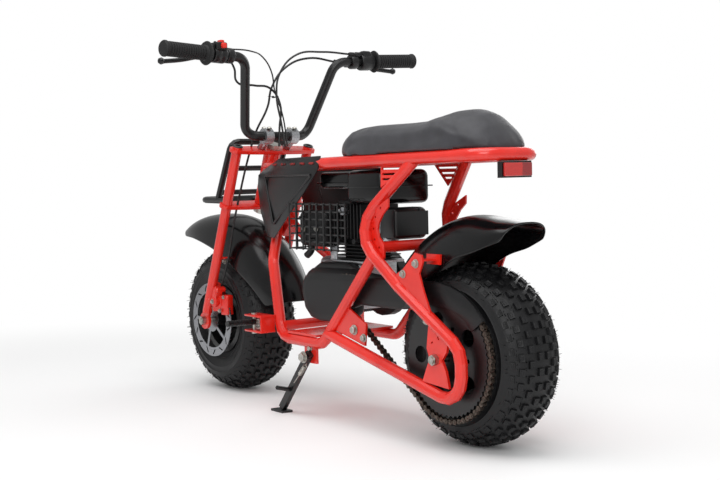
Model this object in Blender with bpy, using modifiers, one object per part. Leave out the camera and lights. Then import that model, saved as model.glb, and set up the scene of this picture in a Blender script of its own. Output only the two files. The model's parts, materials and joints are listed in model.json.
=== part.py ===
# Mini dirt bike: a tube frame on two fat knobby tyres, parked on its side stand.
# Metres. +X forward, +Y left, +Z up. Everything is modelled on the upright bike, from
# the ground under the rear axle, then leaned onto the stand and centred on the origin.
import math

import bmesh
import bpy
from mathutils import Matrix, Vector

# Main sizes
WHEELBASE = 0.878
WHEEL_R = 0.180            # over the lugs
LEAN = math.radians(2.2)   # to the left, onto the side stand
GAP = 0.0003               # between pieces that touch
FRAME_R = 0.0125           # frame tubes
RAIL_R = 0.0130            # seat rail
BAR_R = 0.0111             # handlebar
FORK_R = 0.0120            # fork legs
FORK_Y = 0.1015            # fork legs, out from the middle
AXLE_R = 0.0070
RACK_R = 0.0080

# Steering axis, from the fork caps down to the front axle
CAP = Vector((0.705, 0.0, 0.607))
FRONT_AXLE = Vector((WHEELBASE, 0.0, WHEEL_R))
REAR_AXLE = Vector((0.0, 0.0, WHEEL_R))
DOWN = (FRONT_AXLE - CAP).normalized()
AHEAD = Vector((-DOWN.z, 0.0, DOWN.x))     # square to the steering axis, forwards
FORK_LENGTH = (FRONT_AXLE - CAP).length
UPPER_CLAMP = 0.010        # middles of the two fork clamps, down from the caps
LOWER_CLAMP = 0.152
CLAMP_THICK = 0.009
CLAMP_ARM = 0.020          # width of the arms
CLAMP_RING_R = 0.0185      # round the legs
CLAMP_BOSS_R = 0.024       # round the stem
STEM_R = 0.0150
HEAD_R = 0.0205

# Wheels
RIM_R = 0.0762
DISC_Y = 0.083
DISC_R = 0.0916
SPROCKET_Y = 0.083
SPROCKET_R = 0.1150       # over the teeth
SPROCKET_TEETH = 57
TOOTH = 0.0045
CHAIN_R = 0.1225           # middle of the chain on the rear sprocket
CHAIN_FRONT = Vector((0.390, 0.0, 0.272))
CHAIN_FRONT_R = 0.028

# Side stand
STAND_PIVOT = Vector((0.418, 0.1153, 0.141))
STAND_FOOT = Vector((0.527, 0.1153, 0.0085))


def srgb(code):
    channels = [int(code[i:i + 2], 16) / 255.0 for i in (1, 3, 5)]
    return [c / 12.92 if c < 0.04045 else ((c + 0.055) / 1.055) ** 2.4 for c in channels] + [1.0]


def material(name, code, roughness, metallic):
    made = bpy.data.materials.new(name)
    made.use_nodes = True
    shader = made.node_tree.nodes["Principled BSDF"]
    shader.inputs["Base Color"].default_value = srgb(code)
    shader.inputs["Roughness"].default_value = roughness
    shader.inputs["Metallic"].default_value = metallic
    return made


for old in list(bpy.data.objects):
    bpy.data.objects.remove(old, do_unlink=True)
parts = bpy.data.collections.new("mini_dirt_bike")
cutters = bpy.data.collections.new("cutters")
for collection in (parts, cutters):
    bpy.context.scene.collection.children.link(collection)

RED = ("#E8352B", 0.28, 0.0)
BLACK = ("#141416", 0.35, 0.0)
GLOSS = ("#101014", 0.12, 0.0)
STEEL = ("#B9BCC0", 0.30, 1.0)
ALLOY = ("#C9CCD0", 0.32, 1.0)
TYRE = ("#1B1B1C", 0.85, 0.0)
RUBBER = ("#191919", 0.75, 0.0)
SEAT = ("#3A3A3D", 0.60, 0.0)
CHAIN = ("#4A4038", 0.45, 1.0)
LENS = ("#C81E1E", 0.15, 0.0)


# Shapes

def link(ob, look):
    parts.objects.link(ob)
    ob.data.materials.clear()
    ob.data.materials.append(material(ob.name + "_look", *look))
    return ob


def baked(ob):
    """The object's mesh with its modifiers applied and its faces out."""
    bpy.context.view_layer.update()
    mesh = bpy.data.meshes.new_from_object(ob.evaluated_get(bpy.context.evaluated_depsgraph_get()))
    shape = bmesh.new()
    shape.from_mesh(mesh)
    bmesh.ops.remove_doubles(shape, verts=shape.verts, dist=1e-6)
    bmesh.ops.recalc_face_normals(shape, faces=shape.faces)
    shape.to_mesh(mesh)
    shape.free()
    mesh.transform(ob.matrix_world)
    return mesh


def as_mesh(ob):
    name = ob.name
    mesh = baked(ob)
    bpy.data.objects.remove(ob, do_unlink=True)
    mesh.name = name
    return bpy.data.objects.new(name, mesh)


def boolean(ob, others, operation):
    """Join or cut ob with the other objects, which are used up."""
    for other in others:
        if other.name not in cutters.objects:
            cutters.objects.link(other)
        if ob.name not in parts.objects and ob.name not in cutters.objects:
            cutters.objects.link(ob)
        step = ob.modifiers.new("boolean", "BOOLEAN")
        step.operation = operation
        step.solver = "EXACT"
        step.object = other
        mesh = baked(ob)
        ob.modifiers.clear()
        ob.matrix_world = Matrix.Identity(4)
        ob.data = mesh
        bpy.data.objects.remove(other, do_unlink=True)
    if ob.name in cutters.objects:
        cutters.objects.unlink(ob)
    return ob


def joined(ob, *others):
    return boolean(ob, others, "UNION")


def cut(ob, *others):
    return boolean(ob, others, "DIFFERENCE")


def rounded(points, radii, step=math.radians(30)):
    """A path through the points, its inner corners turned into arcs."""
    points = [Vector(p) for p in points]
    if not isinstance(radii, (list, tuple)):
        radii = [radii] * (len(points) - 2)
    path = [points[0]]
    for before, corner, after, radius in zip(points, points[1:], points[2:], radii):
        a, b = (before - corner).normalized(), (after - corner).normalized()
        turn = math.pi - a.angle(b)
        if radius <= 0 or turn < 1e-3:
            path.append(corner)
            continue
        reach = radius * math.tan(turn / 2)
        start, end = corner + a * reach, corner + b * reach
        centre = corner + (a + b).normalized() * (radius / math.cos(turn / 2))
        count = max(1, math.ceil(turn / step))
        axis = (start - centre).cross(end - centre).normalized()
        for i in range(count + 1):
            path.append(centre + Matrix.Rotation(turn * i / count, 3, axis) @ (start - centre))
    path.append(points[-1])
    return path


def tube(name, path, radius, sides=12, ring=False):
    curve = bpy.data.curves.new(name, "CURVE")
    curve.dimensions = "3D"
    line = curve.splines.new("POLY")
    line.points.add(len(path) - 1)
    for point, place in zip(line.points, path):
        point.co = (*place, 1.0)
    line.use_cyclic_u = ring
    curve.bevel_depth = radius
    curve.bevel_resolution = (sides - 4) // 2
    curve.use_fill_caps = True
    ob = bpy.data.objects.new(name, curve)
    cutters.objects.link(ob)
    return as_mesh(ob)


def rod(name, start, end, radius, sides=24, end_radius=None):
    """A cylinder or cone between two points."""
    start, end = Vector(start), Vector(end)
    shape = bmesh.new()
    bmesh.ops.create_cone(shape, cap_ends=True, segments=sides, radius1=radius,
                          radius2=radius if end_radius is None else end_radius,
                          depth=(end - start).length)
    turn = Vector((0, 0, 1)).rotation_difference(end - start).to_matrix().to_4x4()
    bmesh.ops.transform(shape, matrix=Matrix.Translation((start + end) / 2) @ turn, verts=shape.verts)
    return from_bmesh(name, shape)


def from_bmesh(name, shape):
    mesh = bpy.data.meshes.new(name)
    shape.to_mesh(mesh)
    shape.free()
    return bpy.data.objects.new(name, mesh)


def box(name, size, centre, turn=None, bevel=0.0):
    shape = bmesh.new()
    bmesh.ops.create_cube(shape, size=1.0)
    bmesh.ops.scale(shape, vec=size, verts=shape.verts)
    if bevel:
        bmesh.ops.bevel(shape, geom=shape.edges[:], offset=bevel, segments=1, affect="EDGES")
    matrix = Matrix.Translation(centre)
    if turn is not None:
        matrix = matrix @ turn.to_4x4()
    bmesh.ops.transform(shape, matrix=matrix, verts=shape.verts)
    return from_bmesh(name, shape)


def turned(name, profile, centre, steps=48, axis="Y", ring=True):
    """A profile of (radius, along) points turned about an axis through centre."""
    mesh = bpy.data.meshes.new(name)
    edges = [(i, i + 1) for i in range(len(profile) - 1)]
    if ring:
        edges.append((len(profile) - 1, 0))
    mesh.from_pydata([(r, 0.0, h) for r, h in profile], edges, [])
    ob = bpy.data.objects.new(name, mesh)
    cutters.objects.link(ob)
    screw = ob.modifiers.new("turn", "SCREW")
    screw.steps = screw.render_steps = steps
    screw.use_merge_vertices = True
    screw.merge_threshold = 0.00001
    ob.matrix_world = Matrix.Translation(centre)
    if axis == "Y":
        ob.matrix_world = ob.matrix_world @ Matrix.Rotation(-math.pi / 2, 4, "X")
    return as_mesh(ob)


def plate(name, outline, y, thickness, holes=(), turn=None):
    """A flat piece: an outline of (x, z) points, stood up in the plane at y."""
    curve = bpy.data.curves.new(name, "CURVE")
    curve.dimensions = "2D"
    curve.fill_mode = "BOTH"
    curve.extrude = thickness / 2
    for loop in [outline] + list(holes):
        line = curve.splines.new("POLY")
        line.points.add(len(loop) - 1)
        for point, (x, z) in zip(line.points, loop):
            point.co = (x, z, 0.0, 1.0)
        line.use_cyclic_u = True
    ob = bpy.data.objects.new(name, curve)
    cutters.objects.link(ob)
    ob.matrix_world = turn or (Matrix.Translation((0, y, 0)) @ Matrix.Rotation(math.pi / 2, 4, "X"))
    return as_mesh(ob)


def circle(x, z, radius, count=16):
    return [(x + radius * math.cos(2 * math.pi * i / count), z + radius * math.sin(2 * math.pi * i / count))
            for i in range(count)]


def strap(name, start, end, width, thick):
    """A flat bar between two points, its width along x."""
    start, end = Vector(start), Vector(end)
    along = (end - start).normalized()
    turn = Matrix((Vector((1, 0, 0)), along, Vector((1, 0, 0)).cross(along))).transposed()
    return box(name, (width, (end - start).length, thick), (start + end) / 2, turn)


def mirrored(ob, name):
    """The same shape on the right side."""
    mesh = ob.data.copy()
    mesh.transform(Matrix.Scale(-1, 4, (0, 1, 0)))
    mesh.flip_normals()
    mesh.name = name
    return bpy.data.objects.new(name, mesh)


def shell(name, rows, thickness):
    """A grid of points made into a skin, its thickness added below."""
    mesh = bpy.data.meshes.new(name)
    width = len(rows[0])
    faces = [(r * width + c, r * width + c + 1, (r + 1) * width + c + 1, (r + 1) * width + c)
             for r in range(len(rows) - 1) for c in range(width - 1)]
    mesh.from_pydata([p for row in rows for p in row], [], faces)
    ob = bpy.data.objects.new(name, mesh)
    cutters.objects.link(ob)
    solid = ob.modifiers.new("skin", "SOLIDIFY")
    solid.thickness = thickness
    solid.offset = 0.0
    return as_mesh(ob)


def loft(name, sections):
    """A closed body through sections with the same number of points."""
    mesh = bpy.data.meshes.new(name)
    width = len(sections[0])
    faces = [(r * width + c, r * width + (c + 1) % width, (r + 1) * width + (c + 1) % width,
              (r + 1) * width + c) for r in range(len(sections) - 1) for c in range(width)]
    faces.append(tuple(range(width)))
    faces.append(tuple(range((len(sections) - 1) * width, len(sections) * width)))
    mesh.from_pydata([p for row in sections for p in row], [], faces)
    ob = bpy.data.objects.new(name, mesh)
    cutters.objects.link(ob)
    return as_mesh(ob)


# Fenders, round their axle: (angle from ahead, radius of the ridge, half width, depth of the sides)
FRONT_FENDER = [(48, 0.300, 0.050, 0.030), (56, 0.291, 0.064, 0.048), (66, 0.281, 0.073, 0.066), (78, 0.270, 0.076, 0.080),
                (92, 0.263, 0.076, 0.090), (106, 0.260, 0.076, 0.098), (120, 0.260, 0.076, 0.100),
                (134, 0.262, 0.076, 0.095), (148, 0.266, 0.073, 0.082), (160, 0.266, 0.068, 0.064),
                (168, 0.261, 0.060, 0.048)]
REAR_FENDER = [(28, 0.2450, 0.0600, 0.050), (40, 0.2505, 0.0680, 0.065), (52, 0.2545, 0.0725, 0.085),
               (64, 0.2590, 0.0740, 0.098), (76, 0.2665, 0.0745, 0.104), (88, 0.2745, 0.0745, 0.095),
               (98, 0.2755, 0.0745, 0.080), (107, 0.2775, 0.0740, 0.068), (113, 0.2870, 0.0700, 0.055),
               (119, 0.2980, 0.0580, 0.042)]
CROWN = [(0.0, 0.0), (0.38, 0.05), (0.72, 0.20), (0.94, 0.52), (1.0, 1.0)]   # share of half width, share of depth
FENDER_SKIN = 0.003


def fender(name, table, axle, grow=0.0):
    rows = []
    for angle, radius, half, drop in table:
        out = Vector((math.cos(math.radians(angle)), 0, math.sin(math.radians(angle))))
        section = [(-across, down) for across, down in reversed(CROWN[1:])] + CROWN
        rows.append([axle + out * (radius - drop * down) + Vector((0, half * across, 0))
                     for across, down in section])
    return shell(name, rows, FENDER_SKIN + 2 * grow)


# Frame tubes: (x, y, z) corners on the left, and the radius of each bend
SIDE_TUBE = [(0.100, 0.0700, 0.5620), (0.2406, 0.1190, 0.4189), (0.110, 0.1090, 0.3130), (-0.068, 0.109, 0.2045),
             (-0.068, 0.109, 0.0963), (0.347, 0.109, 0.1965)]
SIDE_BENDS = [0.065, 0.0, 0.045, 0.045]
CRADLE = [(0.662, 0.021, 0.417), (0.596, 0.082, 0.340), (0.541, 0.100, 0.1715), (0.376, 0.105, 0.1705),
          (0.188, 0.108, 0.3695)]
CRADLE_BENDS = [0.030, 0.045, 0.040]
RAIL_Y = 0.073
RAIL_END = -0.100
RAIL_HALF = [(0.694, 0.026, 0.556), (0.400, RAIL_Y, 0.5605), (0.173, RAIL_Y, 0.5640), (RAIL_END, RAIL_Y, 0.5675)]
RAIL = RAIL_HALF + [(x, -y, z) for x, y, z in reversed(RAIL_HALF)]
RAIL_BENDS = [0.060, 0.0, 0.045, 0.045, 0.0, 0.060]


def path_of(points, bends):
    return rounded(points, bends)


def at(s, ahead=0.0, y=0.0):
    """A point s down the steering axis, ahead of it and out from the middle."""
    point = CAP + DOWN * s + AHEAD * ahead
    return Vector((point.x, y, point.z))


made = {}


def keep(ob, look, body):
    made.setdefault(body, []).append(link(ob, look))
    return ob


# Seat rail: one tube, bent round behind the seat
rail_path = path_of(RAIL, RAIL_BENDS)
seat_rail = tube("seat_rail", rail_path, RAIL_R)


def rail_clear(name):
    return tube(name, rail_path, RAIL_R + GAP)


# Head tube with the neck that carries the cradle tubes
head_tube = rod("head_tube", at(UPPER_CLAMP + CLAMP_THICK / 2 + 0.0005), at(0.1465), HEAD_R)
NECK_TURN = Matrix.Rotation(math.radians(-42), 3, "Y")
NECK = Vector((0.686, 0.0, 0.448))
neck = box("neck", (0.124, 0.030, 0.040), NECK, NECK_TURN)
head_tube = joined(head_tube, neck)
head_tube = cut(head_tube, rod("bore", at(0.0), at(0.2), STEM_R + 0.0005),
                rod("clamp_clear", at(0.1465), at(0.168), 0.050))
seat_rail = cut(seat_rail, rod("head_clear", at(0.0), at(0.17), HEAD_R + GAP))

# Side tubes: the stay under the seat, the loop round the axle plate
side_path = path_of(SIDE_TUBE, SIDE_BENDS)
cradle_path = path_of(CRADLE, CRADLE_BENDS)
AXLE_SLOTS = [(-0.008, 0.222, 60, 0.0035), (0.010, 0.212, -35, 0.003)]   # x, z, turn, half length
STAY_TILT = math.radians(22)     # the stays lean in towards the seat rail


def slot(x, z, angle, half):
    """A small slot: half its length along the angle, 1.5 mm to each side of that line."""
    turn = math.radians(angle)
    along, across = (math.cos(turn) * half, math.sin(turn) * half), (-math.sin(turn) * 0.0016, math.cos(turn) * 0.0016)
    return [(x + a * along[0] + b * across[0], z + a * along[1] + b * across[1])
            for a, b in ((-1, -1), (1, -1), (1, 1), (-1, 1))]


AXLE_PLATE = [(0.020, 0.243), (-0.034, 0.212), (-0.030, 0.196), (-0.017, 0.180), (-0.028, 0.160),
              (-0.036, 0.128), (0.040, 0.134), (0.028, 0.160), (0.018, 0.180), (0.026, 0.200)]
STAY_PLATE = [(0.141, 0.487), (0.142, 0.469), (0.159, 0.455), (0.173, 0.437), (0.176, 0.424), (0.173, 0.409),
              (0.157, 0.394), (0.158, 0.366), (0.195, 0.382), (0.206, 0.425), (0.190, 0.462)]
STAY_HOLES = [(0.166, 0.467), (0.183, 0.449), (0.190, 0.425), (0.187, 0.403), (0.173, 0.387)]
STAY_PLATE_Y = 0.1045
FENDER_PLATE = [(0.122, 0.333), (0.092, 0.349), (0.056, 0.382), (0.036, 0.378), (0.033, 0.364), (0.044, 0.342),
                (0.033, 0.311), (0.010, 0.262), (0.060, 0.276)]
FENDER_BOLTS = [(0.053, 0.361), (0.092, 0.339)]
FENDER_PLATE_Y = 0.1105
side_tube = tube("side_tube_left", side_path, FRAME_R)
side_tube = joined(side_tube, plate("axle_plate", AXLE_PLATE, 0.1095, 0.006,
                                     [slot(*s) for s in AXLE_SLOTS]))
side_tube = joined(side_tube, plate("stay_plate", STAY_PLATE, STAY_PLATE_Y, 0.004,
                                     [circle(x, z, 0.003, 6) for x, z in STAY_HOLES]))
gusset = plate("seat_gusset", [(0.110, 0.010), (0.2045, 0.0025), (0.181, -0.052), (0.150, -0.030)], 0.0, 0.004,
               [[(rear, z), (front, z), (front - 0.002, z - 0.005), (rear + 0.005, z - 0.005)]
                for rear, front, z in ((0.134, 0.195, -0.008), (0.146, 0.190, -0.020), (0.159, 0.185, -0.031))])
gusset.data.transform(Matrix.Translation((0, 0.0715, 0.555)) @ Matrix.Rotation(STAY_TILT, 4, "X"))
side_tube = joined(side_tube, gusset)
side_tube = joined(side_tube, plate("fender_plate", FENDER_PLATE, FENDER_PLATE_Y, 0.004))
for x, z in FENDER_BOLTS:
    side_tube = joined(side_tube, rod("bolt", (x, FENDER_PLATE_Y, z), (x, FENDER_PLATE_Y + 0.007, z), 0.0055, 6))
side_tube = cut(side_tube, rail_clear("rail_cut"),
                rod("axle_hole", (0, 0.05, WHEEL_R), (0, 0.2, WHEEL_R), AXLE_R + GAP),
                tube("cradle_cut", cradle_path[:-1] + [(cradle_path[-2] + cradle_path[-1]) / 2], FRAME_R + GAP))

cradle = tube("cradle_left", cradle_path, FRAME_R)
BRACKET = [(0.290, 0.262), (0.222, 0.228), (0.227, 0.1825), (0.333, 0.2075)]
cradle = joined(cradle, plate("engine_bracket", BRACKET, 0.104, 0.005))
cradle = joined(cradle, box("stand_bracket", (0.044, 0.006, 0.040), (0.418, 0.106, 0.146)))
ear = joined(box("fender_web", (0.030, 0.0320, 0.004), (0.047, 0.0940, 0.368)),
             box("fender_ear", (0.040, 0.0050, 0.020), (0.040, 0.0762, 0.368)))
ear = cut(ear, fender("fender_cut", REAR_FENDER, REAR_AXLE, GAP))
side_tube = joined(side_tube, ear)
upper_stay = [p for p in side_path if p.z > 0.25]
cradle = cut(cradle, tube("side_cut", upper_stay, FRAME_R + GAP),
             rod("side_cut", side_path[-1], side_path[-2], FRAME_R + GAP, 12))
cradle = cut(cradle, box("neck_cut", (0.1246, 0.0306, 0.0406), NECK, NECK_TURN))

side_tube_right = mirrored(side_tube, "side_tube_right")
cradle_right = mirrored(cradle, "cradle_right")
cradle_left = cradle

keep(seat_rail, RED, "frame")
keep(head_tube, RED, "frame")
keep(side_tube, RED, "frame")
keep(side_tube_right, RED, "frame")
keep(cradle_left, RED, "frame")
keep(cradle_right, RED, "frame")

# Cross tubes, cut to the frame tubes at both ends
CROSS = [("front_cross_tube", (0.538, 0.196), 0.0962),
         ("rear_cross_tube", (0.172, 0.388), STAY_PLATE_Y - 0.002 - GAP)]      # place, reach to each side
for name, (x, z), reach in CROSS:
    cross = rod(name, (x, -0.104, z), (x, 0.104, z), 0.0115, 16)
    for side in (1, -1):
        for path in (side_path, cradle_path):
            cross = cut(cross, tube("tube_cut", [Vector((p.x, side * p.y, p.z)) for p in path], FRAME_R + GAP))
        cross = cut(cross, box("end_cut", (0.08, 0.02, 0.08), (x, side * (reach + 0.01), z)))
    keep(cross, RED, "frame")

# Engine plate across the cradle
ENGINE_PLATE_Z = 0.1865
engine_plate = box("engine_plate", (0.109, 0.215, 0.005), (0.4505, 0.0, ENGINE_PLATE_Z))
keep(engine_plate, RED, "frame")

COVER_IN, COVER_OUT, COVER_SKIN = 0.0760, 0.0905, 0.0018
LINK_WIDE, LINK_WAIST = 0.0056, 0.0040   # half the height of the chain's plates at a pin and between pins

# Engine: a crankcase and an upright cylinder, its barrel finned level and its head finned upright
CYLINDER = Vector((0.336, 0.0, 0.414))
CYLINDER_SIZE = (0.097, 0.078, 0.1274)
CYLINDER_TOP = CYLINDER.z + CYLINDER_SIZE[2] / 2
FIN = 0.0032
BARREL_FINS = (4, 0.0095, 0.3605)       # how many, how far apart, height of the lowest
HEAD_FINS = (7, 0.0158, 0.2886)         # how many, how far apart, place of the rearmost
HEAD_FIN_Z = (0.399, 0.474)
engine = box("engine", (0.165, 0.120, 0.165), (0.400, -0.015, 0.2718), bevel=0.012)
engine = joined(engine, box("cylinder", CYLINDER_SIZE, CYLINDER))
count, pitch, first = BARREL_FINS
for i in range(count):
    engine = joined(engine, box("fin", (0.112, 0.104, FIN), (CYLINDER.x, CYLINDER.y, first + pitch * i)))
count, pitch, first = HEAD_FINS
for i in range(count):
    engine = joined(engine, box("fin", (FIN, 0.106, HEAD_FIN_Z[1] - HEAD_FIN_Z[0]),
                                (first + pitch * i, CYLINDER.y, sum(HEAD_FIN_Z) / 2)))
engine = joined(engine, rod("spark_plug", (0.336, 0.030, 0.450), (0.336, 0.066, 0.456), 0.009, 8),
                rod("pulley_shaft", CHAIN_FRONT + Vector((0, 0.040, 0)),
                    CHAIN_FRONT + Vector((0, COVER_OUT - COVER_SKIN - GAP, 0)), CHAIN_FRONT_R - LINK_WIDE - 0.001, 12))
keep(engine, BLACK, "frame")
LAST_FIN = first + pitch * (count - 1) + FIN / 2
FIRST_FIN = first - FIN / 2

# Fuel tank: two pressed halves and their seam
TANK = Vector((0.328, 0.0, 0.510))
TANK_SIZE = (0.232, 0.140, 0.0640)
tank = box("fuel_tank", TANK_SIZE, TANK, bevel=0.014)
tank = joined(tank, box("seam", (TANK_SIZE[0] + 0.009, TANK_SIZE[1] + 0.009, 0.003), TANK - Vector((0, 0, 0.002)), bevel=0.0008))
keep(tank, GLOSS, "frame")

FILTER = Vector((0.201, 0.015, 0.4325))
FILTER_SIZE = (0.050, 0.090, 0.066)
intake = joined(box("air_filter", FILTER_SIZE, FILTER, bevel=0.010),
                rod("intake", FILTER, (FIRST_FIN - GAP, FILTER.y, FILTER.z), 0.016, 12))
keep(intake, BLACK, "frame")

# Muffler against the head, and the wire cage that stands off it
MUFFLER = Vector((0.448, 0.050, 0.4175))
MUFFLER_SIZE = (0.100, 0.060, 0.080)
muffler = box("muffler", MUFFLER_SIZE, MUFFLER, bevel=0.012)
muffler = joined(muffler, box("port", (0.020, 0.040, 0.040), (LAST_FIN + GAP + 0.010, 0.028, 0.4175)))
for x in (0.424, 0.472):
    face = MUFFLER.y + MUFFLER_SIZE[1] / 2
    muffler = joined(muffler, rod("bolt", (x, face - 0.001, 0.418), (x, face + 0.005, 0.418), 0.0055, 6))
keep(muffler, BLACK, "frame")

CAGE_X = (0.393, 0.512)
CAGE_Y = 0.0925
CAGE_Z = (0.371, 0.468)
CAGE_WIRE = 0.0032


def spread(low, high, count):
    """Places spread evenly from low to high."""
    return [low + (high - low) * i / (count - 1) for i in range(count)]


uprights = [box("upright", (CAGE_WIRE, CAGE_WIRE, CAGE_Z[1] - CAGE_Z[0]), (x, CAGE_Y, sum(CAGE_Z) / 2))
            for x in spread(CAGE_X[0] + CAGE_WIRE / 2, CAGE_X[1] - CAGE_WIRE / 2, 7)]
levels = [box("level", (CAGE_X[1] - CAGE_X[0] - 0.0008, CAGE_WIRE * 0.8, CAGE_WIRE * 0.9),
              (sum(CAGE_X) / 2, CAGE_Y, z)) for z in spread(CAGE_Z[0] + CAGE_WIRE, CAGE_Z[1] - CAGE_WIRE, 5)]
cage = joined(levels[0], *uprights)
cage = joined(cage, *levels[1:])
cage.name = "muffler_cage"
for x, z in ((0.4330, 0.3975), (0.4720, 0.4440)):
    cage = joined(cage, rod("standoff", (x, MUFFLER.y + MUFFLER_SIZE[1] / 2 + GAP, z), (x, CAGE_Y, z), 0.0028, 8))
keep(cage, BLACK, "frame")

# Recoil starter: a pressed cup with a stepped face
RECOIL = [(0.0, 0.0), (0.062, 0.0), (0.075, -0.004), (0.075, -0.026), (0.066, -0.034), (0.040, -0.036),
          (0.036, -0.041), (0.0, -0.041)]
keep(turned("recoil_starter", RECOIL, Vector((0.400, -0.0755, 0.290)), 24, ring=False), BLACK, "frame")

# Belt cover and chain guard: a tray open towards the wheel, with the clutch's round boss


COVER_TOP_IN, COVER_TOP_OUT = 0.344, 0.320      # the top slants down outwards


def cover_section(y, top, inset):
    """The cover's outline in the plane at y."""
    front, tail, low = 0.470 - inset, 0.100 + inset, 0.217 + inset
    corners = [(front, 0.270), (front, top - inset), (0.330, top - inset), (tail, top - 0.012 - inset),
               (tail, 0.262 + inset), (0.300, 0.258 + inset), (0.330, low), (front, low), (front, 0.270)]
    radii = [0.045 - inset, 0.03, 0.012 - inset, 0.012 - inset, 0.02, 0.02, 0.052 - inset]
    return [Vector((p.x, y, p.z)) for p in rounded([Vector((x, 0, z)) for x, z in corners], radii)[:-1]]


cover = loft("drive_cover", [cover_section(COVER_IN, COVER_TOP_IN, 0.0), cover_section(COVER_OUT - 0.004, COVER_TOP_OUT + 0.006, 0.0),
                             cover_section(COVER_OUT, COVER_TOP_OUT, 0.004)])
TRAY_OUT = COVER_OUT - COVER_SKIN
cover = cut(cover, loft("tray", [cover_section(COVER_IN - 0.001, COVER_TOP_IN, COVER_SKIN),
                                 cover_section(TRAY_OUT - 0.004, COVER_TOP_OUT + 0.006, COVER_SKIN),
                                 cover_section(TRAY_OUT, COVER_TOP_OUT, COVER_SKIN + 0.004)]),
            box("tail_mouth", (0.030, 0.0126, 0.120), (0.100, COVER_IN + 0.0053, 0.275)),
            box("low_mouth", (0.250, 0.0126, 0.100), (0.236, COVER_IN + 0.0053, 0.238)))
DOME = [(0.0, 0.0), (0.054, 0.0), (0.054, 0.014), (0.047, 0.0205), (0.0, 0.0215)]
cover = joined(cover, turned("dome", DOME, Vector((0.408, COVER_OUT - 0.001, 0.268)), 28, ring=False))


# Chain guard: a flat arc over the sprocket with a lip along its outer edge
GUARD_OUT = [(62, 0.1640), (72, 0.1530), (84, 0.1460), (97, 0.1415), (112, 0.1380), (128, 0.1355), (143, 0.1340)]
GUARD_IN = [(143, 0.0960), (126, 0.0960), (108, 0.0965), (90, 0.0985), (72, 0.1040), (56, 0.1140)]
GUARD_LIP = 0.002


def round_axle(table, shrink=0.0):
    return [((r - shrink) * math.cos(math.radians(a)), WHEEL_R + (r - shrink) * math.sin(math.radians(a))) for a, r in table]


guard = plate("guard", [(0.125, 0.329)] + round_axle(GUARD_OUT) + round_axle(GUARD_IN) + [(0.125, 0.266)],
              COVER_OUT - COVER_SKIN / 2, COVER_SKIN)
lip = plate("lip", round_axle(GUARD_OUT) + round_axle(list(reversed(GUARD_OUT)), GUARD_LIP), COVER_OUT - 0.0035, 0.007)
cover = joined(cover, guard, lip)


# Chain: a band round both sprockets
def chain_path(radius, front_radius):
    """A closed loop, tangent to both sprockets."""
    a, b = REAR_AXLE, CHAIN_FRONT
    reach = (b - a).length
    along = math.atan2(b.z - a.z, b.x - a.x)
    off = math.acos((radius - front_radius) / reach)
    points = []
    for i in range(49):
        angle = along + off + (2 * math.pi - 2 * off) * i / 48
        points.append(a + Vector((math.cos(angle), 0, math.sin(angle))) * radius)
    for i in range(9):
        angle = along - off + 2 * off * i / 8
        points.append(b + Vector((math.cos(angle), 0, math.sin(angle))) * front_radius)
    return points


CHAIN_PITCH = 0.0127


def chain_edge(side):
    """One edge of the chain: it swells at each pin."""
    path = [p for p in chain_path(CHAIN_R, CHAIN_FRONT_R)]
    path.append(path[0])
    lengths = [(b - a).length for a, b in zip(path, path[1:])]
    links = round(sum(lengths) / CHAIN_PITCH)
    edge, piece, passed = [], 0, 0.0
    for i in range(2 * links):
        want = sum(lengths) * i / (2 * links)
        while passed + lengths[piece] < want:
            passed += lengths[piece]
            piece += 1
        run = (path[piece + 1] - path[piece]).normalized()
        out = Vector((run.z, 0, -run.x))
        place = path[piece] + run * (want - passed) + out * side * (LINK_WIDE if i % 2 == 0 else LINK_WAIST)
        edge.append((place.x, place.z))
    return edge


CHAIN_WIDE = 0.008
chain = plate("drive_chain", chain_edge(1), SPROCKET_Y, CHAIN_WIDE, [chain_edge(-1)])
keep(chain, CHAIN, "frame")

# The cover stands clear of the chain all along
CHAIN_ROOM = LINK_WIDE + 0.0012
room = [(p.x, p.z) for p in chain_path(CHAIN_R + CHAIN_ROOM, CHAIN_FRONT_R + CHAIN_ROOM)]
cover = cut(cover, plate("chain_room", room, SPROCKET_Y, CHAIN_WIDE + 0.001))
keep(cover, BLACK, "frame")


# Neck shields on both sides
SHIELD = [[(0.700, 0.042, 0.572), (0.600, 0.058, 0.573), (0.425, 0.078, 0.577)],
          [(0.703, 0.055, 0.545), (0.600, 0.0655, 0.546), (0.425, 0.0884, 0.549)],
          [(0.708, 0.054, 0.510), (0.620, 0.074, 0.474), (0.525, 0.084, 0.474)],
          [(0.678, 0.060, 0.430), (0.640, 0.068, 0.402), (0.612, 0.073, 0.392)]]
shield = shell("neck_shield_left", [[Vector(p) for p in row] for row in SHIELD], 0.0025)
keep(mirrored(shield, "neck_shield_right"), BLACK, "frame")
keep(shield, BLACK, "frame")

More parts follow.
